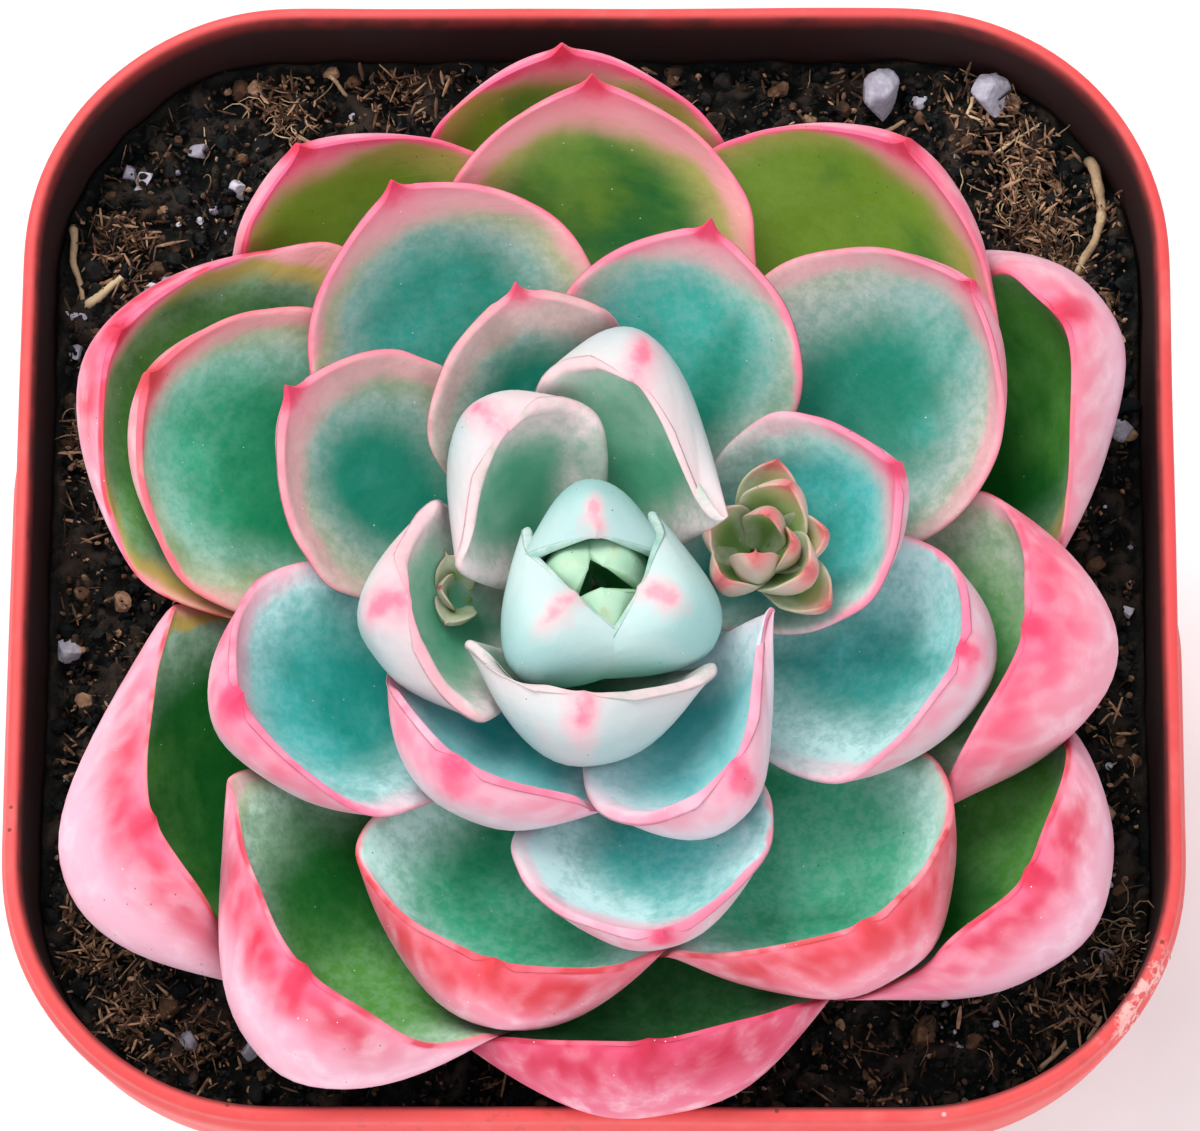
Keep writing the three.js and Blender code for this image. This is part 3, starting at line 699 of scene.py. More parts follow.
def strands(name, seed, routes, material, sides=6):
    """Round threads as one piece; a route is (points, thickness at start, at end, tone)."""
    chance = np.random.default_rng(seed)
    points, faces, tones = [], [], []
    for route, start, end, tone in routes:
        route = np.asarray(route, float)
        first = len(points)
        run = np.gradient(route, axis=0)
        run /= np.linalg.norm(run, axis=1)[:, None]
        for number, (middle, ahead) in enumerate(zip(route, run)):
            side = np.cross(ahead, (0.31, 0.22, 0.92))
            side /= np.linalg.norm(side)
            lift = np.cross(side, ahead)
            share = number / (len(route) - 1)
            radius = (start + (end - start) * share) * (0.85 + 0.3 * chance.random())
            for step in range(sides):
                angle = 2 * math.pi * step / sides
                points.append(middle + radius * (math.cos(angle) * side + math.sin(angle) * lift))
        last = len(points) - sides
        for ring in range(len(route) - 1):
            for step in range(sides):
                a = first + ring * sides + step
                b = first + ring * sides + (step + 1) % sides
                faces.append((b, a, a + sides, b + sides))
        faces.append(tuple(first + step for step in range(sides)))
        faces.append(tuple(last + step for step in reversed(range(sides))))
        tones += [tone] * (sides * len(route))
    piece = mesh_piece(name, np.array(points), faces, material, True)
    mark(piece, "tone", tones)
    return piece


routes = []
for x, y in open_places(chance, THREADS):
    length = chance.uniform(1.2, 4.5)
    heading = chance.uniform(0, 2 * math.pi)
    curl = chance.normal() * 0.12
    thickness = chance.uniform(0.03, 0.08)
    arch = chance.uniform(0.1, 0.7)
    route = []
    for step in range(THREAD_STEPS + 1):
        if max(abs(x), abs(y)) > OPEN_HALF - 0.5:
            break
        route.append((x, y, ground(x, y) + 0.3 + arch * math.sin(step / THREAD_STEPS * math.pi)))
        heading += curl + 0.25 * chance.normal()
        x += math.cos(heading) * length / THREAD_STEPS
        y += math.sin(heading) * length / THREAD_STEPS
    if len(route) > 3:
        routes.append((route, thickness, thickness * 0.6, chance.uniform(0.25, 0.95)))
strands("soil_threads", 16, routes, fibre_paint, 5)

# Straws: splinters and stalks, and a dry root in the back right corner, whose ends stick
# in the soil. A row is its corners, thickness at each end, tone and lift.
STRAWS = [
    ([(38.9, 34.2), (39.6, 32.0), (39.7, 29.1), (38.9, 27.0), (37.6, 25.0)], 0.50, 0.26, 0.72, 1.0),
    ([(-41.4, 28.8), (-41.2, 25.8), (-40.4, 22.5)], 0.34, 0.20, 0.66, 0.8),
    ([(-40.2, 22.3), (-38.3, 23.8), (-36.8, 25.4)], 0.38, 0.30, 0.98, 0.9),
    ([(33.9, -38.5), (35.8, -36.6), (37.7, -34.0)], 0.22, 0.16, 0.60, 0.7),
    ([(38.6, -34.4), (37.6, -36.2)], 0.20, 0.15, 0.70, 0.7),
    ([(-21.4, 41.3), (-19.8, 39.9)], 0.18, 0.14, 0.75, 0.7),
    ([(22.4, 36.7), (24.4, 37.7)], 0.20, 0.15, 0.65, 0.8),
    ([(31.2, 34.4), (33.2, 36.0), (35.2, 37.2)], 0.14, 0.10, 0.95, 0.8),
    ([(29.6, 39.0), (29.2, 37.6), (30.4, 36.8)], 0.16, 0.10, 0.90, 1.4),
]
routes = []
for corners, start, end, tone, lift in STRAWS:
    corners = np.array(corners)
    steps = np.linspace(0, len(corners) - 1, 6 * len(corners))
    x = np.interp(steps, range(len(corners)), corners[:, 0]) + 0.08 * np.sin(steps * 5)
    y = np.interp(steps, range(len(corners)), corners[:, 1]) + 0.08 * np.cos(steps * 4)
    z = ground(x, y) + lift + 0.15 * np.sin(steps * 3)
    z[[0, -1]] -= 0.5
    routes.append((np.column_stack((x, y, z)), start, end, tone))
strands("root_and_straws", 17, routes, fibre_paint, 10)

# Tufts: torn fibre, frayed from the bark and the old roots, that springs up a little from
# the soil near the corners and at the left.
TUFTS = [(33.6, 30.8), (34.8, 26.0), (35.8, 24.2), (-38.9, 12.4), (40.4, -28.6), (-24.9, 38.0)]
TUFT_FIBRES = 26
TUFT_STEPS = 5
routes = []
for x, y in TUFTS:
    for _ in range(TUFT_FIBRES):
        heading = chance.uniform(0, 2 * math.pi)
        length = chance.uniform(0.8, 2.4)
        bend = chance.normal() * 0.8
        foot_x, foot_y = x + 1.1 * chance.normal(), y + 1.1 * chance.normal()
        route = []
        for step in range(TUFT_STEPS + 1):
            share = step / TUFT_STEPS
            angle = heading + 2 * bend * share
            side_x = foot_x + math.cos(angle) * length * share
            side_y = foot_y + math.sin(angle) * length * share
            route.append((side_x, side_y, ground(side_x, side_y) + 0.3 + 0.9 * math.sin(2.4 * share)))
        routes.append((route, 0.07, 0.04, chance.uniform(0.35, 0.85)))
strands("fibre_tufts", 18, routes, fibre_paint, 5)

# Stem: a short thick stalk, which the leaves hide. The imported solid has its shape, so it
# keeps it and only gets a dull green-brown rind with the scars of fallen leaves.
rind, tree, shader, place = new_material("stem_rind")
patchy = cloud(tree, place, 2.5 * MM, 5, 0.65)
paint = tint(tree, fade(tree, patchy, 0.35, 0.65), (0.22, 0.27, 0.10, 1), (0.42, 0.36, 0.20, 1))
paint = tint(tree, flecks(tree, place, 2.2 * MM, 0.4, 0.2), paint, (0.20, 0.11, 0.06, 1))
tree.links.new(paint, shader.inputs["Base Color"])
shader.inputs["Roughness"].default_value = 0.7
tree.links.new(bump(tree, patchy, 0.3 * MM), shader.inputs["Normal"])
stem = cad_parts["stem"]
stem.data.materials.clear()
stem.data.materials.append(rind)

# Leaf skin: a waxy green skin over juicy flesh, dusted with a pale bloom that is rubbed
# off in places. The margin is flushed pink through a beige band, with a crimson spot at
# the tip, and the underside is paler, flushed from the margin inwards.
leaf_skin, given, made = new_group(
    "leaf_skin",
    {
        "Place": "Vector", "Along": "Float", "Underside": "Float", "Edge": "Float", "Tip": "Float",
        "Deep": "Color", "Flesh": "Color", "Bloom": "Color", "Soft pink": "Color", "Pink": "Color",
        "Crimson": "Color", "Under": "Color", "Under root": "Color", "Bloom amount": "Float",
        "Bloom width": "Float", "Blush": "Float", "Blush width": "Float", "Under blush": "Float",
        "Burn": "Float", "Warmth": "Float", "Spot": "Float",
    },
    {"Colour": "Color", "Roughness": "Float", "Height": "Float"},
)
tree, place = leaf_skin, given["Place"]
edge, tip, underside = given["Edge"], given["Tip"], given["Underside"]
blush, burn, bloom_amount = given["Blush"], given["Burn"], given["Bloom amount"]
bloom, soft_pink, pink, crimson = (given[name] for name in ("Bloom", "Soft pink", "Pink", "Crimson"))
BEIGE = (0.46, 0.37, 0.10, 1)
PALE_PINK = (0.92, 0.72, 0.80, 1)
SCAR = (0.01, 0.05, 0.03, 1)
DUST = (0.85, 0.92, 0.90, 1)


def scaled(value, amount):
    """A width or mask of the leaf skin made larger or smaller."""
    return product(leaf_skin, value, amount)


def stepping(value, start, end, low=0.0, high=1.0):
    """A soft step in the leaf skin."""
    return fade(leaf_skin, value, start, end, low, high)


def off_middle(value, amount):
    """Noise of 0 to 1 as a push both ways."""
    return scaled(sums(leaf_skin, "SUBTRACT", value, 0.5), amount)


broad, smears, mottle = read_mark(tree, "broad"), read_mark(tree, "smears"), read_mark(tree, "mottle")
patches = read_mark(tree, "patches")
powder = cloud(tree, place, 0.45 * MM, 2, 0.75)
wandering = sums(tree, "ADD", off_middle(broad, 3.4), off_middle(mottle, 1.2))
ragged = sums(tree, "ADD", edge, wandering)
near_edge = sums(tree, "ADD", edge, off_middle(mottle, 1.4))
rise = sums(tree, "ADD", given["Along"], off_middle(broad, 0.9))
rise = sums(tree, "ADD", rise, off_middle(mottle, 0.5))
outward = stepping(given["Along"], 0.30, 0.80, 0.25, 1.0)
wandering_tip = sums(tree, "ADD", tip, wandering)
near_tip = stepping(wandering_tip, 10.0, 1.0)

# The face: green from its root out, hazed and dusted with bloom, then beige, soft pink and
# pink towards the margin
# The step from Deep at the root to Flesh is partly the leaf's own deeper green and partly painted shade
# where younger leaves cover the root
upper = tint(tree, stepping(rise, 0.30, 0.92), given["Deep"], given["Flesh"])
upper = tint(tree, stepping(smears, 0.50, 0.85, 0.0, 0.40), upper, given["Deep"])
haze = product(tree, stepping(rise, 0.30, 0.90, 0.02, 0.17), stepping(powder, 0.35, 0.65, 0.3, 1.1))
haze = product(tree, haze, bloom_amount, clamp=True)
upper = tint(tree, haze, upper, bloom)
thin = product(tree, stepping(mottle, 0.30, 0.60, 0.80, 1.0), stepping(powder, 0.3, 0.7, 0.75, 1.2))
unrubbed = stepping(smears, 0.52, 0.85, 1.0, 0.45)
dusting = product(tree, stepping(ragged, given["Bloom width"], 0.4), bloom_amount)
dusting = product(tree, dusting, thin, unrubbed, clamp=True)
upper = tint(tree, dusting, upper, bloom)
flush_reach = given["Blush width"]
beige = product(tree, stepping(ragged, scaled(flush_reach, 4.0), 1.0), given["Warmth"])
upper = tint(tree, beige, upper, BEIGE)
flush_reach = product(tree, flush_reach, sums(tree, "MULTIPLY_ADD", near_tip, 1.2, 0.7))
flush = product(tree, blush, outward)
soft = stepping(ragged, scaled(flush_reach, 2.3), scaled(flush_reach, 0.5))
soft = product(tree, soft, scaled(flush, 0.85), clamp=True)
upper = tint(tree, soft, upper, soft_pink)
hot = stepping(near_edge, flush_reach, scaled(flush_reach, 0.1))
hot = product(tree, hot, stepping(broad, 0.3, 0.65, 0.35, 1.0), flush, clamp=True)
upper = tint(tree, hot, upper, pink)

# The belly: mottled rose and pale pink, cream along the margin, flushed from the margin in,
# and burnt crimson near the tip
below = tint(tree, stepping(rise, 0.20, 0.60), given["Under root"], given["Under"])
rosy = product(tree, stepping(mottle, 0.30, 0.80, 0.0, 0.40), blush)
below = tint(tree, rosy, below, soft_pink)
pale = product(tree, stepping(patches, 0.42, 0.66, 0.0, 0.55), stepping(powder, 0.35, 0.65, 0.4, 1.0))
below = tint(tree, product(tree, pale, blush), below, PALE_PINK)
below = tint(tree, stepping(smears, 0.60, 0.90, 0.0, 0.25), below, soft_pink)
unburnt = sums(tree, "SUBTRACT", 1.0, burn)
cream = product(tree, stepping(ragged, 3.8, 0.2), bloom_amount, unburnt, 0.8, clamp=True)
below = tint(tree, cream, below, bloom)
flushed = product(tree, stepping(ragged, scaled(given["Under blush"], 1.4), 0.0), blush)
flushed = product(tree, flushed, stepping(patches, 0.30, 0.70, 0.75, 0.45), clamp=True)
below = tint(tree, flushed, below, pink)
ruddy = product(tree, near_tip, stepping(near_edge, 3.6, 0.3), burn, 0.6, clamp=True)
below = tint(tree, ruddy, below, pink)
burnt = stepping(sums(tree, "ADD", edge, off_middle(mottle, 1.6)), 2.5, 0.6)
burnt = product(tree, burnt, stepping(edge, 0.1, 0.8, 0.45, 1.0), stepping(wandering_tip, 15.0, 6.0))
burnt = product(tree, burnt, stepping(patches, 0.30, 0.70, 1.0, 0.55), burn, clamp=True)
below = tint(tree, burnt, below, crimson)
paint = tint(tree, underside, upper, below)

# The margin and the tip: a thin pink line, a crimson ridge where the leaf is burnt, and the
# crimson spot in its pink glow
rim_line = product(tree, stepping(edge, 0.55, 0.10), stepping(patches, 0.38, 0.62, 0.15, 0.9))
rim_line = product(tree, rim_line, scaled(flush, 0.5), clamp=True)
paint = tint(tree, rim_line, paint, pink)
ridge_line = product(tree, stepping(edge, 0.28, 0.05), stepping(mottle, 0.40, 0.62, 0.0, 0.9))
ridge_line = product(tree, ridge_line, burn, clamp=True)
paint = tint(tree, ridge_line, paint, crimson)
spot_size = given["Spot"]
uneven_tip = sums(tree, "ADD", tip, off_middle(patches, 1.4))
uneven_tip = sums(tree, "ADD", uneven_tip, off_middle(powder, 0.8))
beyond = stepping(edge, scaled(spot_size, 0.15), scaled(spot_size, 0.5))
narrowed = sums(tree, "SUBTRACT", 1.0, product(tree, beyond, burn), clamp=True)
glow = stepping(uneven_tip, scaled(spot_size, 1.7), 0.0)
paint = tint(tree, product(tree, glow, narrowed, 0.6), paint, pink)
spot = stepping(uneven_tip, scaled(spot_size, 0.75), scaled(spot_size, 0.1))
spot = product(tree, spot, narrowed, sums(tree, "MULTIPLY_ADD", blush, 0.4, 0.5), clamp=True)
paint = tint(tree, spot, paint, crimson)

scars = flecks(tree, place, 0.9 * MM, 0.34, 0.09)
scars = product(tree, scars, stepping(broad, 0.50, 0.66, 0.05, 0.75))
paint = tint(tree, scars, paint, SCAR)
dust = flecks(tree, place, 0.75 * MM, 0.22, 0.09)
dust = product(tree, dust, stepping(mottle, 0.45, 0.60, 0.1, 0.7))
paint = tint(tree, dust, paint, DUST)
tree.links.new(paint, made["Colour"])
tree.links.new(stepping(dusting, 0.0, 0.8, 0.48, 0.62), made["Roughness"])
tree.links.new(sums(tree, "MULTIPLY_ADD", powder, 0.30, mottle), made["Height"])

# The colours of each kind of leaf, in the order of SKIN_COLOURS
SKIN_COLOURS = ("Deep", "Flesh", "Bloom", "Soft pink", "Pink", "Crimson", "Under", "Under root")
PALETTES = {
    "heart": [(0.06, 0.32, 0.12), (0.22, 0.50, 0.26), (0.44, 0.66, 0.48), (0.46, 0.62, 0.44),
              (0.50, 0.54, 0.36), (0.32, 0.48, 0.26), (0.38, 0.62, 0.44), (0.12, 0.36, 0.16)],
    "pale": [(0.01, 0.26, 0.16), (0.14, 0.44, 0.32), (0.66, 0.76, 0.74), (0.66, 0.64, 0.64),
             (0.90, 0.36, 0.42), (0.90, 0.20, 0.30), (0.30, 0.52, 0.50), (0.02, 0.27, 0.22)],
    "cream": [(0.07, 0.33, 0.19), (0.26, 0.54, 0.38), (0.72, 0.62, 0.62), (0.84, 0.46, 0.50),
              (0.90, 0.24, 0.34), (0.84, 0.08, 0.19), (0.38, 0.52, 0.52), (0.08, 0.36, 0.32)],
    "mint": [(0.03, 0.36, 0.36), (0.24, 0.62, 0.64), (0.62, 0.74, 0.78), (0.90, 0.40, 0.50),
             (0.90, 0.17, 0.30), (0.82, 0.05, 0.14), (0.66, 0.56, 0.62), (0.16, 0.44, 0.46)],
    "aqua": [(0.00, 0.22, 0.18), (0.05, 0.46, 0.44), (0.52, 0.76, 0.76), (0.90, 0.40, 0.50),
             (0.90, 0.17, 0.30), (0.82, 0.05, 0.14), (0.68, 0.50, 0.57), (0.16, 0.44, 0.46)],
    "teal": [(0.00, 0.19, 0.12), (0.03, 0.39, 0.33), (0.50, 0.55, 0.52), (0.88, 0.34, 0.42),
             (0.90, 0.13, 0.26), (0.78, 0.03, 0.10), (0.80, 0.40, 0.50), (0.20, 0.42, 0.36)],
    "flame": [(0.00, 0.20, 0.08), (0.03, 0.40, 0.22), (0.52, 0.76, 0.70), (0.90, 0.32, 0.40),
              (0.84, 0.12, 0.17), (0.62, 0.04, 0.05), (0.78, 0.32, 0.42), (0.50, 0.30, 0.22)],
    "sage": [(0.00, 0.17, 0.02), (0.13, 0.40, 0.10), (0.52, 0.60, 0.50), (0.90, 0.38, 0.48),
             (0.88, 0.15, 0.27), (0.74, 0.04, 0.11), (0.76, 0.34, 0.42), (0.50, 0.40, 0.36)],
    "forest": [(0.00, 0.10, 0.008), (0.07, 0.28, 0.03), (0.46, 0.66, 0.52), (0.90, 0.36, 0.47),
               (0.88, 0.14, 0.26), (0.62, 0.02, 0.06), (0.78, 0.42, 0.52), (0.60, 0.36, 0.32)],
    "olive": [(0.00, 0.11, 0.02), (0.15, 0.29, 0.015), (0.46, 0.50, 0.26), (0.90, 0.34, 0.42),
              (0.90, 0.12, 0.25), (0.72, 0.03, 0.08), (0.82, 0.40, 0.52), (0.50, 0.42, 0.22)],
    "wine": [(0.00, 0.07, 0.010), (0.02, 0.20, 0.04), (0.42, 0.62, 0.46), (0.80, 0.22, 0.31),
             (0.70, 0.07, 0.16), (0.50, 0.02, 0.05), (0.72, 0.17, 0.26), (0.50, 0.14, 0.12)],
    "sprig": [(0.16, 0.30, 0.08), (0.34, 0.46, 0.16), (0.55, 0.60, 0.48), (0.70, 0.46, 0.48),
              (0.74, 0.20, 0.22), (0.60, 0.04, 0.06), (0.38, 0.46, 0.34), (0.22, 0.34, 0.12)],
}


def leaf_material(
    name, palette, seed, bloom, bloom_width, blush, blush_width, under_blush, burn, warmth, spot
):
    """The skin of one leaf: a palette, its bloom and blush, and widths in millimetres."""
    material, tree, shader, place = new_material(name)
    shift = (0.31 * seed, 0.17 * seed, 0.0)
    own_place = node(tree, "ShaderNodeVectorMath", {0: place, 1: shift}, operation="ADD").outputs[0]
    values = {
        "Place": own_place,
        "Along": read_mark(tree, "along"),
        "Underside": read_mark(tree, "underside"),
        "Edge": read_mark(tree, "edge"),
        "Tip": read_mark(tree, "tip"),
        "Bloom amount": bloom,
        "Bloom width": bloom_width,
        "Blush": blush,
        "Blush width": blush_width,
        "Under blush": under_blush,
        "Burn": burn,
        "Warmth": warmth,
        "Spot": spot,
    }
    for label, colour in zip(SKIN_COLOURS, PALETTES[palette]):
        values[label] = (*colour, 1)
    skin = node(tree, "ShaderNodeGroup", values, node_tree=leaf_skin)
    tree.links.new(skin.outputs["Colour"], shader.inputs["Base Color"])
    tree.links.new(skin.outputs["Roughness"], shader.inputs["Roughness"])
    tree.links.new(bump(tree, skin.outputs["Height"], 0.14 * MM), shader.inputs["Normal"])
    shader.inputs["Specular IOR Level"].default_value = 0.20
    return material


# Leaf form: a thick spoon on a curved middle line, hollowed above and bellied below,
# widest past its middle, with a thin rounded margin and a short needle at the tip.
WIDEST_AT = 0.55
FULL_AT = 0.6
TAPER_FROM = 0.84
THINNER_TIP = 0.35
BEND_EASE = 0.18
LINE_SAMPLES = 160
OUTLINE_SAMPLES = 150
OUTLINE_FROM = 0.03
BLUNT_NEEDLE = 0.3
NEEDLE_REACH = 0.55
SPOT_BELOW = 0.7
TIP_CROWDING = 1.7
CUP_EASE = 0.28
UNDER_SPREAD = 0.4
USUAL_HALF = 12
WAVER = 0.022
FACE_RIPPLE = 0.16
EDGE_RIPPLE = 0.30
BELLY_RIPPLE = 0.05
DRIFT = 60
PRESS_GAP = 0.45
PRESS_ROUNDS = 8

# The skin's patterns: pitch along, across and through the leaf, fading, fineness, octaves
# and contrast
PATTERNS = {
    "broad": ((18, 18, 18), 1.0, 2.0, 3, 0.55),
    "patches": ((1.6, 1.6, 1.6), 0.8, 2.0, 2, 0.32),
    "mottle": ((3, 3, 3), 0.6, 2.1, 3, 0.28),
    "smears": ((9, 4, 6), 1.0, 2.0, 4, 0.55),
}


def smooth_step(share):
    """A soft step from 0 to 1 over shares 0 to 1."""
    share = np.clip(share, 0, 1)
    return share * share * (3 - 2 * share)


def leaf_width(s, half, base, point):
    """Half the leaf's width at shares s of its length; point sharpens the tip."""
    growing = base + (half - base) * np.sin(np.minimum(s / WIDEST_AT, 1) * math.pi / 2) ** 1.25
    u = np.clip((s - WIDEST_AT) / (1 - WIDEST_AT), 0, 1)
    closing = half * np.maximum(1 - u**2.1, 0) ** (0.54 + point * u**8)
    return np.where(s < WIDEST_AT, growing, closing)


def leaf_depth(s, thickness):
    """How far the belly hangs under the face at shares s of the leaf's length."""
    swelling = 0.3 + 0.7 * np.sin(np.minimum(s / FULL_AT, 1) * math.pi / 2) ** 1.6
    thinning = 1 - THINNER_TIP * smooth_step((s - FULL_AT) / (1 - FULL_AT))
    end = np.maximum((s - TAPER_FROM) / (1 - TAPER_FROM), 0)
    return thickness * swelling * thinning * np.sqrt(np.maximum(1 - end**2.2, 0))


def middle_line(seat, tip, start_slope, tip_slope, start_pull, tip_pull):
    """The four control points, out and up, of the curve that a leaf's middle follows."""
    seat, tip = np.array(seat, float), np.array(tip, float)
    chord = np.linalg.norm(tip - seat)
    start_turn, tip_turn = math.radians(start_slope), math.radians(tip_slope)
    start = np.array((math.cos(start_turn), math.sin(start_turn)))
    end = np.array((math.cos(tip_turn), math.sin(tip_turn)))
    return np.array((seat, seat + start * start_pull * chord, tip - end * tip_pull * chord, tip))


def on_line(line, s):
    """Places on a leaf's middle line at shares s of it."""
    u = 1 - s
    weights = np.column_stack((u**3, 3 * u * u * s, 3 * u * s * s, s**3))
    return weights @ line


def heading_on(line, s):
    """The way a leaf's middle line runs at shares s of it."""
    s = np.clip(s, 0, 1)
    u = 1 - s
    run = np.column_stack((u * u, 2 * u * s, s * s)) @ np.diff(line, axis=0)
    return run / np.linalg.norm(run, axis=1)[:, None]


def ripple(chance, u, v, size, waves=7):
    """Soft seeded undulation, mostly between -1 and 1, over a plane in millimetres."""
    total = np.zeros(len(u))
    for _ in range(waves):
        angle = chance.uniform(0, 2 * math.pi)
        pitch = 2 * math.pi / size * chance.uniform(0.6, 1.5)
        phase = chance.uniform(0, 2 * math.pi)
        total += np.sin(pitch * (u * math.cos(angle) + v * math.sin(angle)) + phase)
    return total * 1.4 / waves


def leaf(
    name, root, azimuth, lean, line, half, base, thickness, cup, roll, point, rounding, needle,
    detail, material,
):
    """One leaf as a ball drawn out along its middle line, from its seat to its needle."""
    segments, rings = detail
    chance = np.random.default_rng(int(azimuth * 100 + half * 10))
    bpy.ops.object.select_all(action="DESELECT")
    bpy.ops.mesh.primitive_uv_sphere_add(segments=segments, ring_count=rings, radius=1)
    piece = bpy.context.object
    piece.name = name
    ball = points_of(piece)
    run = 1 - np.arccos(np.clip(ball[:, 2], -1, 1)) / math.pi
    s = 1 - (1 - run) ** TIP_CROWDING
    ring = np.hypot(ball[:, 0], ball[:, 1])
    pole = ring < 1e-5
    x = np.where(pole, 0, ball[:, 0] / np.maximum(ring, 1e-9))
    up = np.where(pole, 0, ball[:, 1] / np.maximum(ring, 1e-9))
    middle = on_line(line, s)
    course = heading_on(line, s - BEND_EASE) + heading_on(line, s + BEND_EASE)
    course /= np.linalg.norm(course, axis=1)[:, None]
    samples = np.linspace(0, 1, LINE_SAMPLES)
    steps = np.linalg.norm(np.diff(on_line(line, samples), axis=0), axis=1)
    lengths = np.concatenate(([0], np.cumsum(steps)))
    run_mm = np.interp(s, samples, lengths)
    width = leaf_width(s, half, base, point)
    scale = half / USUAL_HALF
    waver = 1 + WAVER * ripple(chance, run_mm, np.sign(x) * 30, 9 * scale) * smooth_step(s * 3)
    across_mm = x * width * waver
    rounding = np.minimum(rounding, 0.45 * width + 1e-6)
    into_round = np.clip((np.abs(x) * width - (width - rounding)) / rounding, 0, 1)
    drop = rounding * (1 - np.sqrt(np.maximum(1 - into_round**2, 0)))
    eased = width * width / (width + CUP_EASE * half) * (1 + CUP_EASE)
    face = eased * (cup * x * x + roll * x * s) - drop
    rippled = smooth_step(s * 2.5)
    face += FACE_RIPPLE * scale * ripple(chance, run_mm, across_mm, 8 * scale) * rippled
    face += EDGE_RIPPLE * scale * x * x * ripple(chance, run_mm, np.sign(x) * 20, 11 * scale) * rippled
    full = leaf_depth(s, thickness) * (1 - np.abs(x) ** 2.4) ** 0.6
    full *= 1 + BELLY_RIPPLE * ripple(chance, run_mm, across_mm + 50, 10 * scale)
    level = np.where(up >= 0, face, face - full)
    level = np.where(pole, face - full / 2, level)

    outline_s = 1 - (1 - np.linspace(OUTLINE_FROM, 1, OUTLINE_SAMPLES)) ** TIP_CROWDING
    outline_run = np.interp(outline_s, samples, lengths)
    outline_half = leaf_width(outline_s, half, base, point)
    gaps = (run_mm[:, None] - outline_run) ** 2 + (np.abs(x * width)[:, None] - outline_half) ** 2
    edge_mm = np.sqrt(gaps.min(axis=1))
    edge_mm = np.where(up < 0, np.hypot(edge_mm, UNDER_SPREAD * full), edge_mm)
    tip_mm = np.hypot(lengths[-1] - run_mm, x * width)

    spike = needle * np.exp(-((tip_mm / (NEEDLE_REACH * min(scale * 1.1, 1))) ** 1.4))
    if needle < BLUNT_NEEDLE:
        tip_mm = np.hypot(lengths[-1] - run_mm + np.where(up < 0, -SPOT_BELOW, SPOT_BELOW), x * width)
    needle_out, needle_up = heading_on(line, np.array([1.0]))[0]
    out = middle[:, 0] - course[:, 1] * level + needle_out * spike
    height = middle[:, 1] + course[:, 0] * level + needle_up * spike
    side = across_mm + lean * s * s
    turn = math.radians(azimuth)
    places = np.column_stack((
        root[0] + out * math.cos(turn) - side * math.sin(turn),
        root[1] + out * math.sin(turn) + side * math.cos(turn),
        height,
    ))
    set_points(piece, places * MM)
    drift = DRIFT * chance.random()
    here = list(zip(run_mm, across_mm, face - level + drift))
    for pattern, ((pitch, pitch_over, pitch_in), fading, finer, octaves, contrast) in PATTERNS.items():
        places = [Vector((u / pitch, v / pitch_over, w / pitch_in)) for u, v, w in here]
        values = np.array([noise.fractal(place, fading, finer, octaves) for place in places])
        mark(piece, pattern, np.clip(0.5 + contrast * values, 0, 1))
    mark(piece, "along", s)
    mark(piece, "underside", np.where(np.abs(up) < 1e-4, 0.5, up < 0))
    mark(piece, "edge", edge_mm)
    mark(piece, "tip", tip_mm)
    bpy.ops.object.shade_smooth()
    piece.data.materials.append(material)
    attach(piece, "root")
    return piece


def pressing_tree(piece):
    """A leaf swollen by a small gap, as a search tree, with its range in plan."""
    swollen = points_of(piece) + normals_of(piece) * PRESS_GAP * MM
    faces = [tuple(face.vertices) for face in piece.data.polygons]
    tree = BVHTree.FromPolygons(swollen.tolist(), faces)
    return tree, swollen.min(axis=0), swollen.max(axis=0)


def press_under(piece, younger):
    """Lowers what would stand in or over a younger leaf to just under it, with soft shoulders."""
    points = points_of(piece)
    free = points[:, 2].copy()
    for tree, low, high in younger:
        inside = (points[:, :2] > low[:2]) & (points[:, :2] < high[:2])
        close = np.all(inside, axis=1) & (points[:, 2] > low[2])
        for index in np.nonzero(close)[0]:
            x, y, z = points[index]
            hit = tree.ray_cast(Vector((x, y, 0)), Vector((0, 0, 1)))[0]
            if hit is not None and z > hit.z:
                points[index, 2] = hit.z
    lowered = free - points[:, 2]
    ends = np.array([tuple(edge.vertices) for edge in piece.data.edges])
    near = np.bincount(ends.ravel(), minlength=len(points))
    for _ in range(PRESS_ROUNDS):
        shared = np.bincount(ends[:, 0], lowered[ends[:, 1]], len(points))
        shared += np.bincount(ends[:, 1], lowered[ends[:, 0]], len(points))
        lowered = np.maximum(lowered, shared / near)
    points[:, 2] = free - lowered
    set_points(piece, points)


# Rosette: 32 leaves on a golden-angle spiral, youngest first, each curling over the
# heart or spreading by its age. A leaf's row gives its form, and its skin in the next
# table has the same place. Older leaves give way under the younger ones.
CROWN = (0.6, -6.6)
CROWN_TOP = RIM_TOP / MM + 6.3
LEAF_PITCH = 0.4
LEAF_DETAIL = (64, 72)
CURLED_SLOPE = 100
START_PULL = 0.42
LONG_NEEDLE = 1.25
SHORT_NEEDLES = (0.2, 0.35)

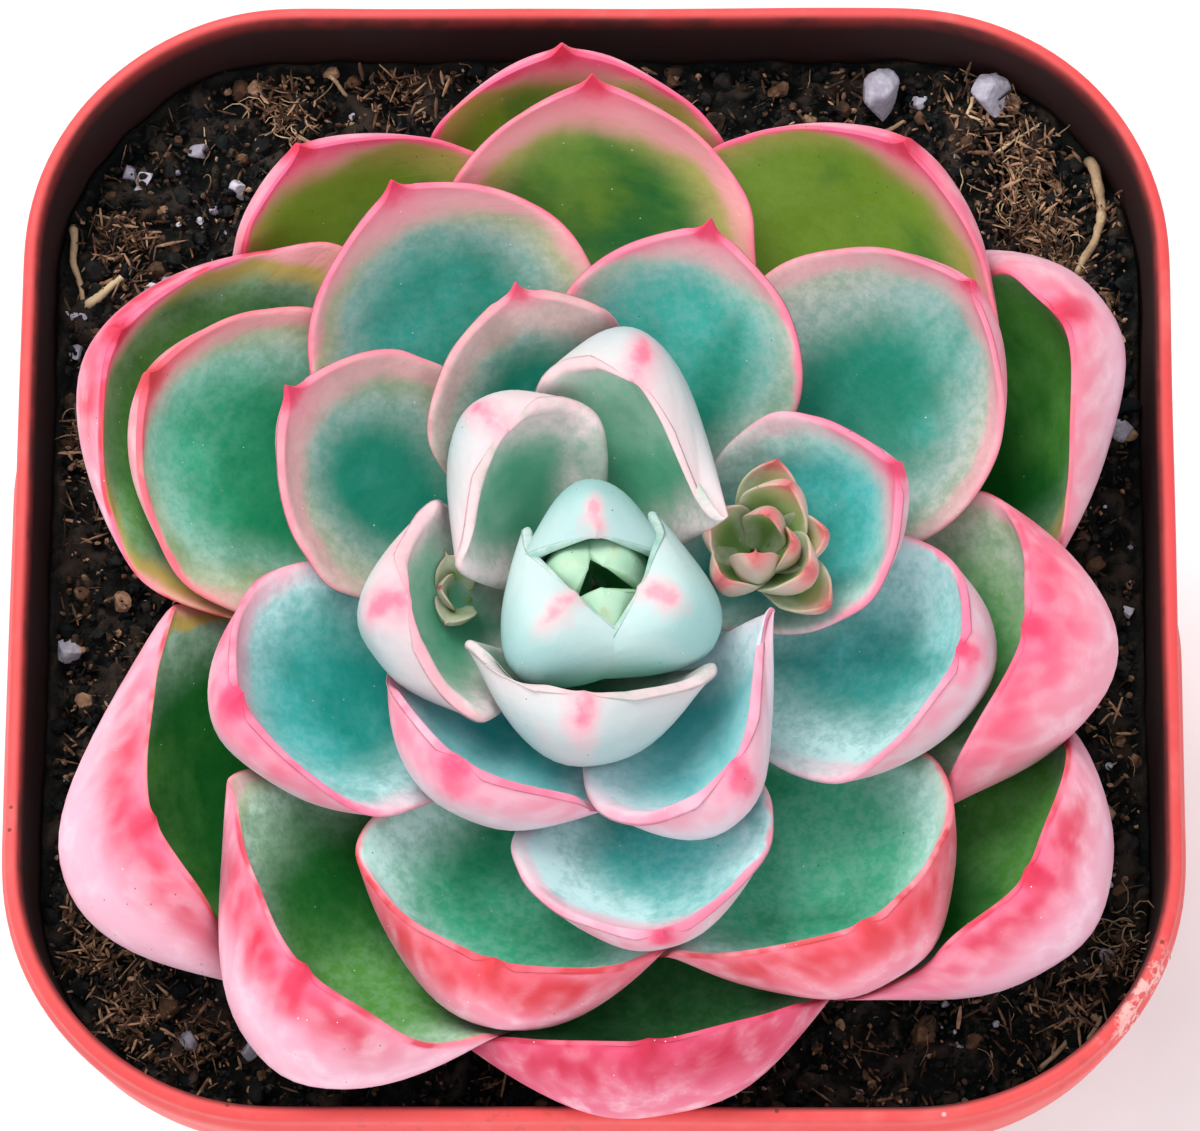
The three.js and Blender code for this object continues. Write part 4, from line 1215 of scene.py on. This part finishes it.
# Azimuth, sideways lean, reach, tip's height over the rim, half width, tip slope,
# thickness, cup, roll, point
ROSETTE = [
    (94, 0.0, 2.5, 16.6, 6.1, 142, 3.6, 0.90, -0.10, 0.0),
    (229, 0.0, 2.5, 16.6, 7.2, 144, 4.6, 0.90, 0.00, 0.0),
    (335, 0.0, 3.3, 16.7, 7.1, 140, 4.2, 0.90, 0.00, 0.0),
    (131, -2.0, 12.6, 16.2, 7.8, 112, 4.8, 0.62, 0.25, 0.05),
    (264, 0.0, 9.4, 16.8, 9.3, 124, 3.7, 0.62, 0.00, 0.0),
    (75, 1.4, 14.8, 16.3, 8.6, 114, 5.4, 0.85, -0.70, 0.05),
    (190, -0.5, 14.0, 15.8, 8.8, 122, 3.8, 0.56, 0.00, 0.0),
    (303, 0.4, 17.2, 15.0, 9.4, 106, 3.8, 0.72, 0.58, 0.05),
    (107, -0.6, 22.8, 15.0, 8.9, 68, 3.0, 0.40, 0.00, 0.46),
    (237, -0.8, 17.0, 14.5, 10.2, 106, 3.8, 0.42, 0.00, 0.05),
    (21, 0.4, 23.6, 13.5, 8.4, 76, 3.0, 0.50, 0.10, 0.50),
    (151, -1.8, 27.2, 13.4, 9.4, 68, 3.0, 0.40, 0.00, 0.46),
    (281, -0.4, 26.6, 12.5, 9.8, 72, 3.2, 0.40, 0.00, 0.42),
    (73, 0.3, 28.7, 13.5, 9.8, 66, 3.0, 0.40, 0.00, 0.42),
    (201, -1.4, 27.6, 12.5, 10.7, 98, 4.2, 0.44, 0.08, 0.10),
    (347, 1.2, 26.8, 12.5, 10.2, 102, 4.4, 0.42, -0.14, 0.0),
    (119, -1.6, 34.8, 12.0, 11.8, 68, 3.6, 0.38, 0.00, 0.24),
    (255, 0.0, 29.0, 10.5, 12.6, 106, 5.2, 0.42, 0.00, 0.0),
    (40, 0.5, 36.4, 11.0, 11.9, 78, 4.2, 0.40, 0.00, 0.0),
    (155, -1.0, 37.6, 10.5, 12.2, 80, 4.4, 0.40, 0.00, 0.10),
    (308, 0.0, 31.6, 10.0, 12.9, 106, 5.6, 0.48, -0.20, 0.0),
    (91, 0.0, 40.2, 11.0, 12.4, 70, 4.0, 0.38, 0.00, 0.24),
    (233, 0.0, 35.6, 10.0, 13.8, 122, 7.0, 0.52, -0.22, 0.0),
    (353, 1.2, 31.6, 10.8, 12.8, 122, 8.0, 0.46, -0.14, 0.0),
    (151, -1.0, 42.0, 7.5, 15.2, 92, 6.0, 0.48, 0.00, 0.0),
    (276, 0.2, 33.6, 7.8, 16.0, 106, 6.2, 0.30, 0.00, 0.0),
    (56, 1.2, 42.8, 8.0, 14.6, 82, 5.2, 0.40, 0.00, 0.10),
    (205, 1.5, 37.0, 9.0, 15.2, 124, 8.4, 0.56, -0.14, 0.0),
    (328, -0.8, 37.6, 8.0, 15.0, 114, 7.4, 0.44, -0.08, 0.0),
    (124, -1.0, 42.4, 8.0, 13.8, 78, 4.8, 0.38, 0.00, 0.20),
    (32, 1.0, 41.4, 7.5, 14.6, 106, 7.4, 0.54, -0.14, 0.0),
    (94, 0.0, 44.4, 7.0, 14.0, 76, 4.6, 0.38, 0.00, 0.20),
]

# Palette, bloom, bloom width, blush, blush width, blush below, burn, warmth, spot
SKINS = [
    ("pale", 0.50, 3.0, 0.02, 0.5, 0.5, 0.0, 0.0, 0.9),
    ("pale", 0.80, 3.5, 0.02, 0.6, 0.5, 0.0, 0.0, 1.1),
    ("pale", 0.70, 3.5, 0.02, 0.6, 0.5, 0.0, 0.0, 1.1),
    ("cream", 1.00, 4.5, 0.20, 1.0, 1.0, 0.0, 0.0, 1.3),
    ("cream", 0.90, 4.0, 0.10, 0.8, 1.0, 0.0, 0.0, 1.3),
    ("cream", 1.00, 4.5, 0.20, 1.0, 1.2, 0.0, 0.0, 1.4),
    ("cream", 1.00, 5.0, 0.35, 1.2, 1.4, 0.1, 0.0, 1.7),
    ("mint", 1.20, 6.0, 0.65, 1.1, 1.6, 0.3, 0.0, 1.8),
    ("teal", 0.80, 5.5, 0.45, 0.7, 1.4, 0.0, 0.2, 1.8),
    ("mint", 1.10, 6.0, 0.75, 1.1, 2.0, 0.4, 0.0, 2.0),
    ("aqua", 0.80, 5.0, 0.80, 1.0, 1.6, 0.1, 0.2, 2.4),
    ("teal", 0.80, 6.0, 0.70, 0.8, 1.6, 0.1, 0.3, 2.4),
    ("aqua", 1.30, 8.5, 0.75, 0.7, 1.6, 0.2, 0.0, 1.8),
    ("teal", 0.80, 6.0, 0.75, 0.9, 1.6, 0.1, 0.2, 2.4),
    ("aqua", 1.00, 7.0, 0.95, 1.3, 1.8, 0.5, 0.0, 2.8),
    ("aqua", 1.10, 9.0, 0.85, 0.9, 2.0, 0.2, 0.0, 1.6),
    ("teal", 0.80, 7.0, 0.90, 0.9, 1.8, 0.2, 0.5, 2.8),
    ("flame", 1.20, 7.5, 0.90, 0.8, 2.6, 1.00, 0.0, 3.0),
    ("teal", 0.90, 8.0, 0.80, 0.8, 2.0, 0.1, 0.2, 1.4),
    ("flame", 0.80, 7.0, 0.90, 1.0, 2.0, 0.2, 0.5, 2.8),
    ("flame", 1.10, 7.5, 0.85, 0.7, 3.0, 0.95, 0.2, 2.6),
    ("olive", 0.40, 5.0, 0.95, 1.2, 2.0, 0.3, 0.7, 3.0),
    ("forest", 1.00, 7.5, 0.75, 0.5, 1.8, 0.95, 0.3, 2.4),
    ("sage", 1.00, 9.0, 0.90, 0.8, 3.0, 0.7, 0.2, 2.4),
    ("forest", 0.45, 6.0, 0.95, 0.7, 1.4, 0.90, 1.00, 2.6),
    ("wine", 0.70, 6.0, 0.95, 0.6, 3.0, 0.95, 0.3, 2.6),
    ("olive", 0.35, 5.0, 0.95, 1.2, 2.2, 0.2, 0.90, 3.0),
    ("forest", 0.60, 6.0, 0.60, 0.4, 1.4, 0.90, 1.0, 2.4),
    ("forest", 0.65, 6.0, 0.85, 0.5, 2.0, 0.95, 0.8, 2.2),
    ("olive", 0.30, 5.0, 0.95, 1.3, 2.2, 0.2, 0.80, 2.8),
    ("forest", 0.35, 5.0, 0.80, 0.6, 1.8, 0.30, 0.7, 2.8),
    ("olive", 0.25, 4.5, 0.95, 1.2, 2.2, 0.2, 0.90, 3.0),
]
younger = []
for rank, (form, skin) in enumerate(zip(ROSETTE, SKINS)):
    azimuth, lean, reach, tip_height, half, tip_slope, thickness, cup, roll, point = form
    number = "%02d" % (rank + 1)
    paint = leaf_material("skin_" + number, skin[0], rank + 1, *skin[1:])
    line = middle_line(
        (min(4.6, 2.2 + 0.42 * rank), CROWN_TOP - LEAF_PITCH * rank),
        (reach, RIM_TOP / MM + tip_height),
        6 + 60 * math.exp(-rank / 9),
        tip_slope,
        START_PULL,
        0.40 if tip_slope > CURLED_SLOPE else 0.44 - 0.18 * min(rank / 26, 1),
    )
    needle = SHORT_NEEDLES[0] if rank < 10 else SHORT_NEEDLES[1]
    if tip_slope < CURLED_SLOPE and rank > 4:
        needle = LONG_NEEDLE
    rounding = 2.4 if rank < 3 else 1.7 if rank < 8 else max(1.2 - 0.03 * rank, 0.45)
    piece = leaf(
        "rosette_leaf_" + number, CROWN, azimuth, lean, line, half, min(2.4, 0.42 * half),
        thickness, cup, roll, point, rounding, needle, LEAF_DETAIL, paint,
    )
    own_tree = pressing_tree(piece)
    if rank > 2:
        press_under(piece, younger)
    younger.append(own_tree)
    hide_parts("leaf_" + number)

# Heart: the three youngest leaves, still green, folded together over the growing point.
# A row is azimuth, reach, tip's height over the rim, half width, tip slope and thickness.
HEART_DETAIL = (40, 44)
HEART = [
    (281, 1.3, 16.1, 4.1, 126, 2.8),
    (60, 0.6, 15.7, 3.8, 122, 2.4),
    (165, 0.8, 15.9, 3.6, 124, 2.4),
]
for rank, (azimuth, reach, tip_height, half, tip_slope, thickness) in enumerate(HEART):
    number = str(rank + 1)
    paint = leaf_material(
        "heart_skin_" + number, "heart", 40 + rank, 0.5, 1.6, 0.1, 0.3, 0.4, 0.0, 0.0, 0.5
    )
    line = middle_line(
        (1.3 - 0.25 * rank, CROWN_TOP + 0.5 + 0.5 * rank),
        (reach, RIM_TOP / MM + tip_height),
        74,
        tip_slope,
        START_PULL,
        0.44,
    )
    piece = leaf(
        "young_leaf_" + number, CROWN, azimuth, 0.0, line, half, 0.9,
        thickness, 0.40, 0.0, 0.05, 0.8, 0.1, HEART_DETAIL, paint,
    )
    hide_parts("heart_leaf_" + number)

# Side growths: a small rosette of pointed leaflets in the hollow of the leaf to
# the right of the heart, and a green bud on the other side, each on a short stub.
STUB_RADIUS = 1.1
STUB_HIGH = 1.8
LEAFLET_DETAIL = (32, 40)
STUB_MARKS = {
    "along": 0.4, "broad": 0.5, "smears": 0.5, "mottle": 0.5, "patches": 0.5, "edge": 5.0, "tip": 9.0,
    "underside": 0.0,
}

# Each growth's foot, the node that it replaces, its palette, and its leaflets: azimuth,
# length, rise, half width and tip slope
SIDE_GROWTHS = {
    "offset": ((12.2, -3.3, 78.0), "offset_rosette", "sprig", [
        (76, 6.7, 4.2, 2.4, 60), (58, 4.6, 6.0, 2.9, 84), (7, 5.2, 5.2, 2.3, 66), (327, 4.4, 6.0, 2.8, 84),
        (320, 7.0, 3.8, 2.4, 56), (150, 3.6, 5.2, 2.4, 84), (230, 3.6, 5.2, 2.4, 84),
        (60, 1.6, 6.6, 1.9, 110), (270, 1.3, 6.6, 2.0, 110), (350, 2.6, 6.4, 1.8, 92),
    ]),
    "bud": ((-9.6, -6.2, 77.0), "side_bud", "sprig", [
        (115, 2.8, 3.4, 1.7, 30), (245, 2.8, 3.2, 1.7, 30), (180, 1.6, 3.8, 1.4, 60),
    ]),
}
for growth, ((x, y, foot), node_name, palette, rows) in SIDE_GROWTHS.items():
    bpy.ops.object.select_all(action="DESELECT")
    bpy.ops.mesh.primitive_uv_sphere_add(segments=24, ring_count=16, radius=1)
    stub = bpy.context.object
    stub.name = growth + "_stub"
    stub_points = points_of(stub)
    stub_size = (STUB_RADIUS, STUB_RADIUS, STUB_HIGH)
    set_points(stub, (stub_points * stub_size + (x, y, foot - 1.0)) * MM)
    for label, value in STUB_MARKS.items():
        mark(stub, label, np.full(len(stub_points), value))
    bpy.ops.object.shade_smooth()
    paint = leaf_material(growth + "_stub_skin", palette, 60, 0.2, 1.0, 0.0, 0.1, 0.1, 0.0, 0.0, 0.1)
    stub.data.materials.append(paint)
    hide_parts(node_name)
    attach(stub, "root")
    for rank, (azimuth, length, rise, half, tip_slope) in enumerate(rows):
        red = 0.1 if growth == "bud" else 1.9
        paint = leaf_material(
            "%s_skin_%d" % (growth, rank + 1), palette, 61 + rank, 0.6, 1.4, 0.12, 0.3, 0.3, 0.1, 0.0, red
        )
        line = middle_line((0.4, foot + 0.6), (length, foot + rise), 34, tip_slope, 0.4, 0.4)
        piece = leaf(
            "%s_leaflet_%d" % (growth, rank + 1), (x, y), azimuth, 0.0, line, half, 0.6 * half,
            0.55 * half, 0.55, 0.0, 0.5, 0.3, 0.4, LEAFLET_DETAIL, paint,
        )
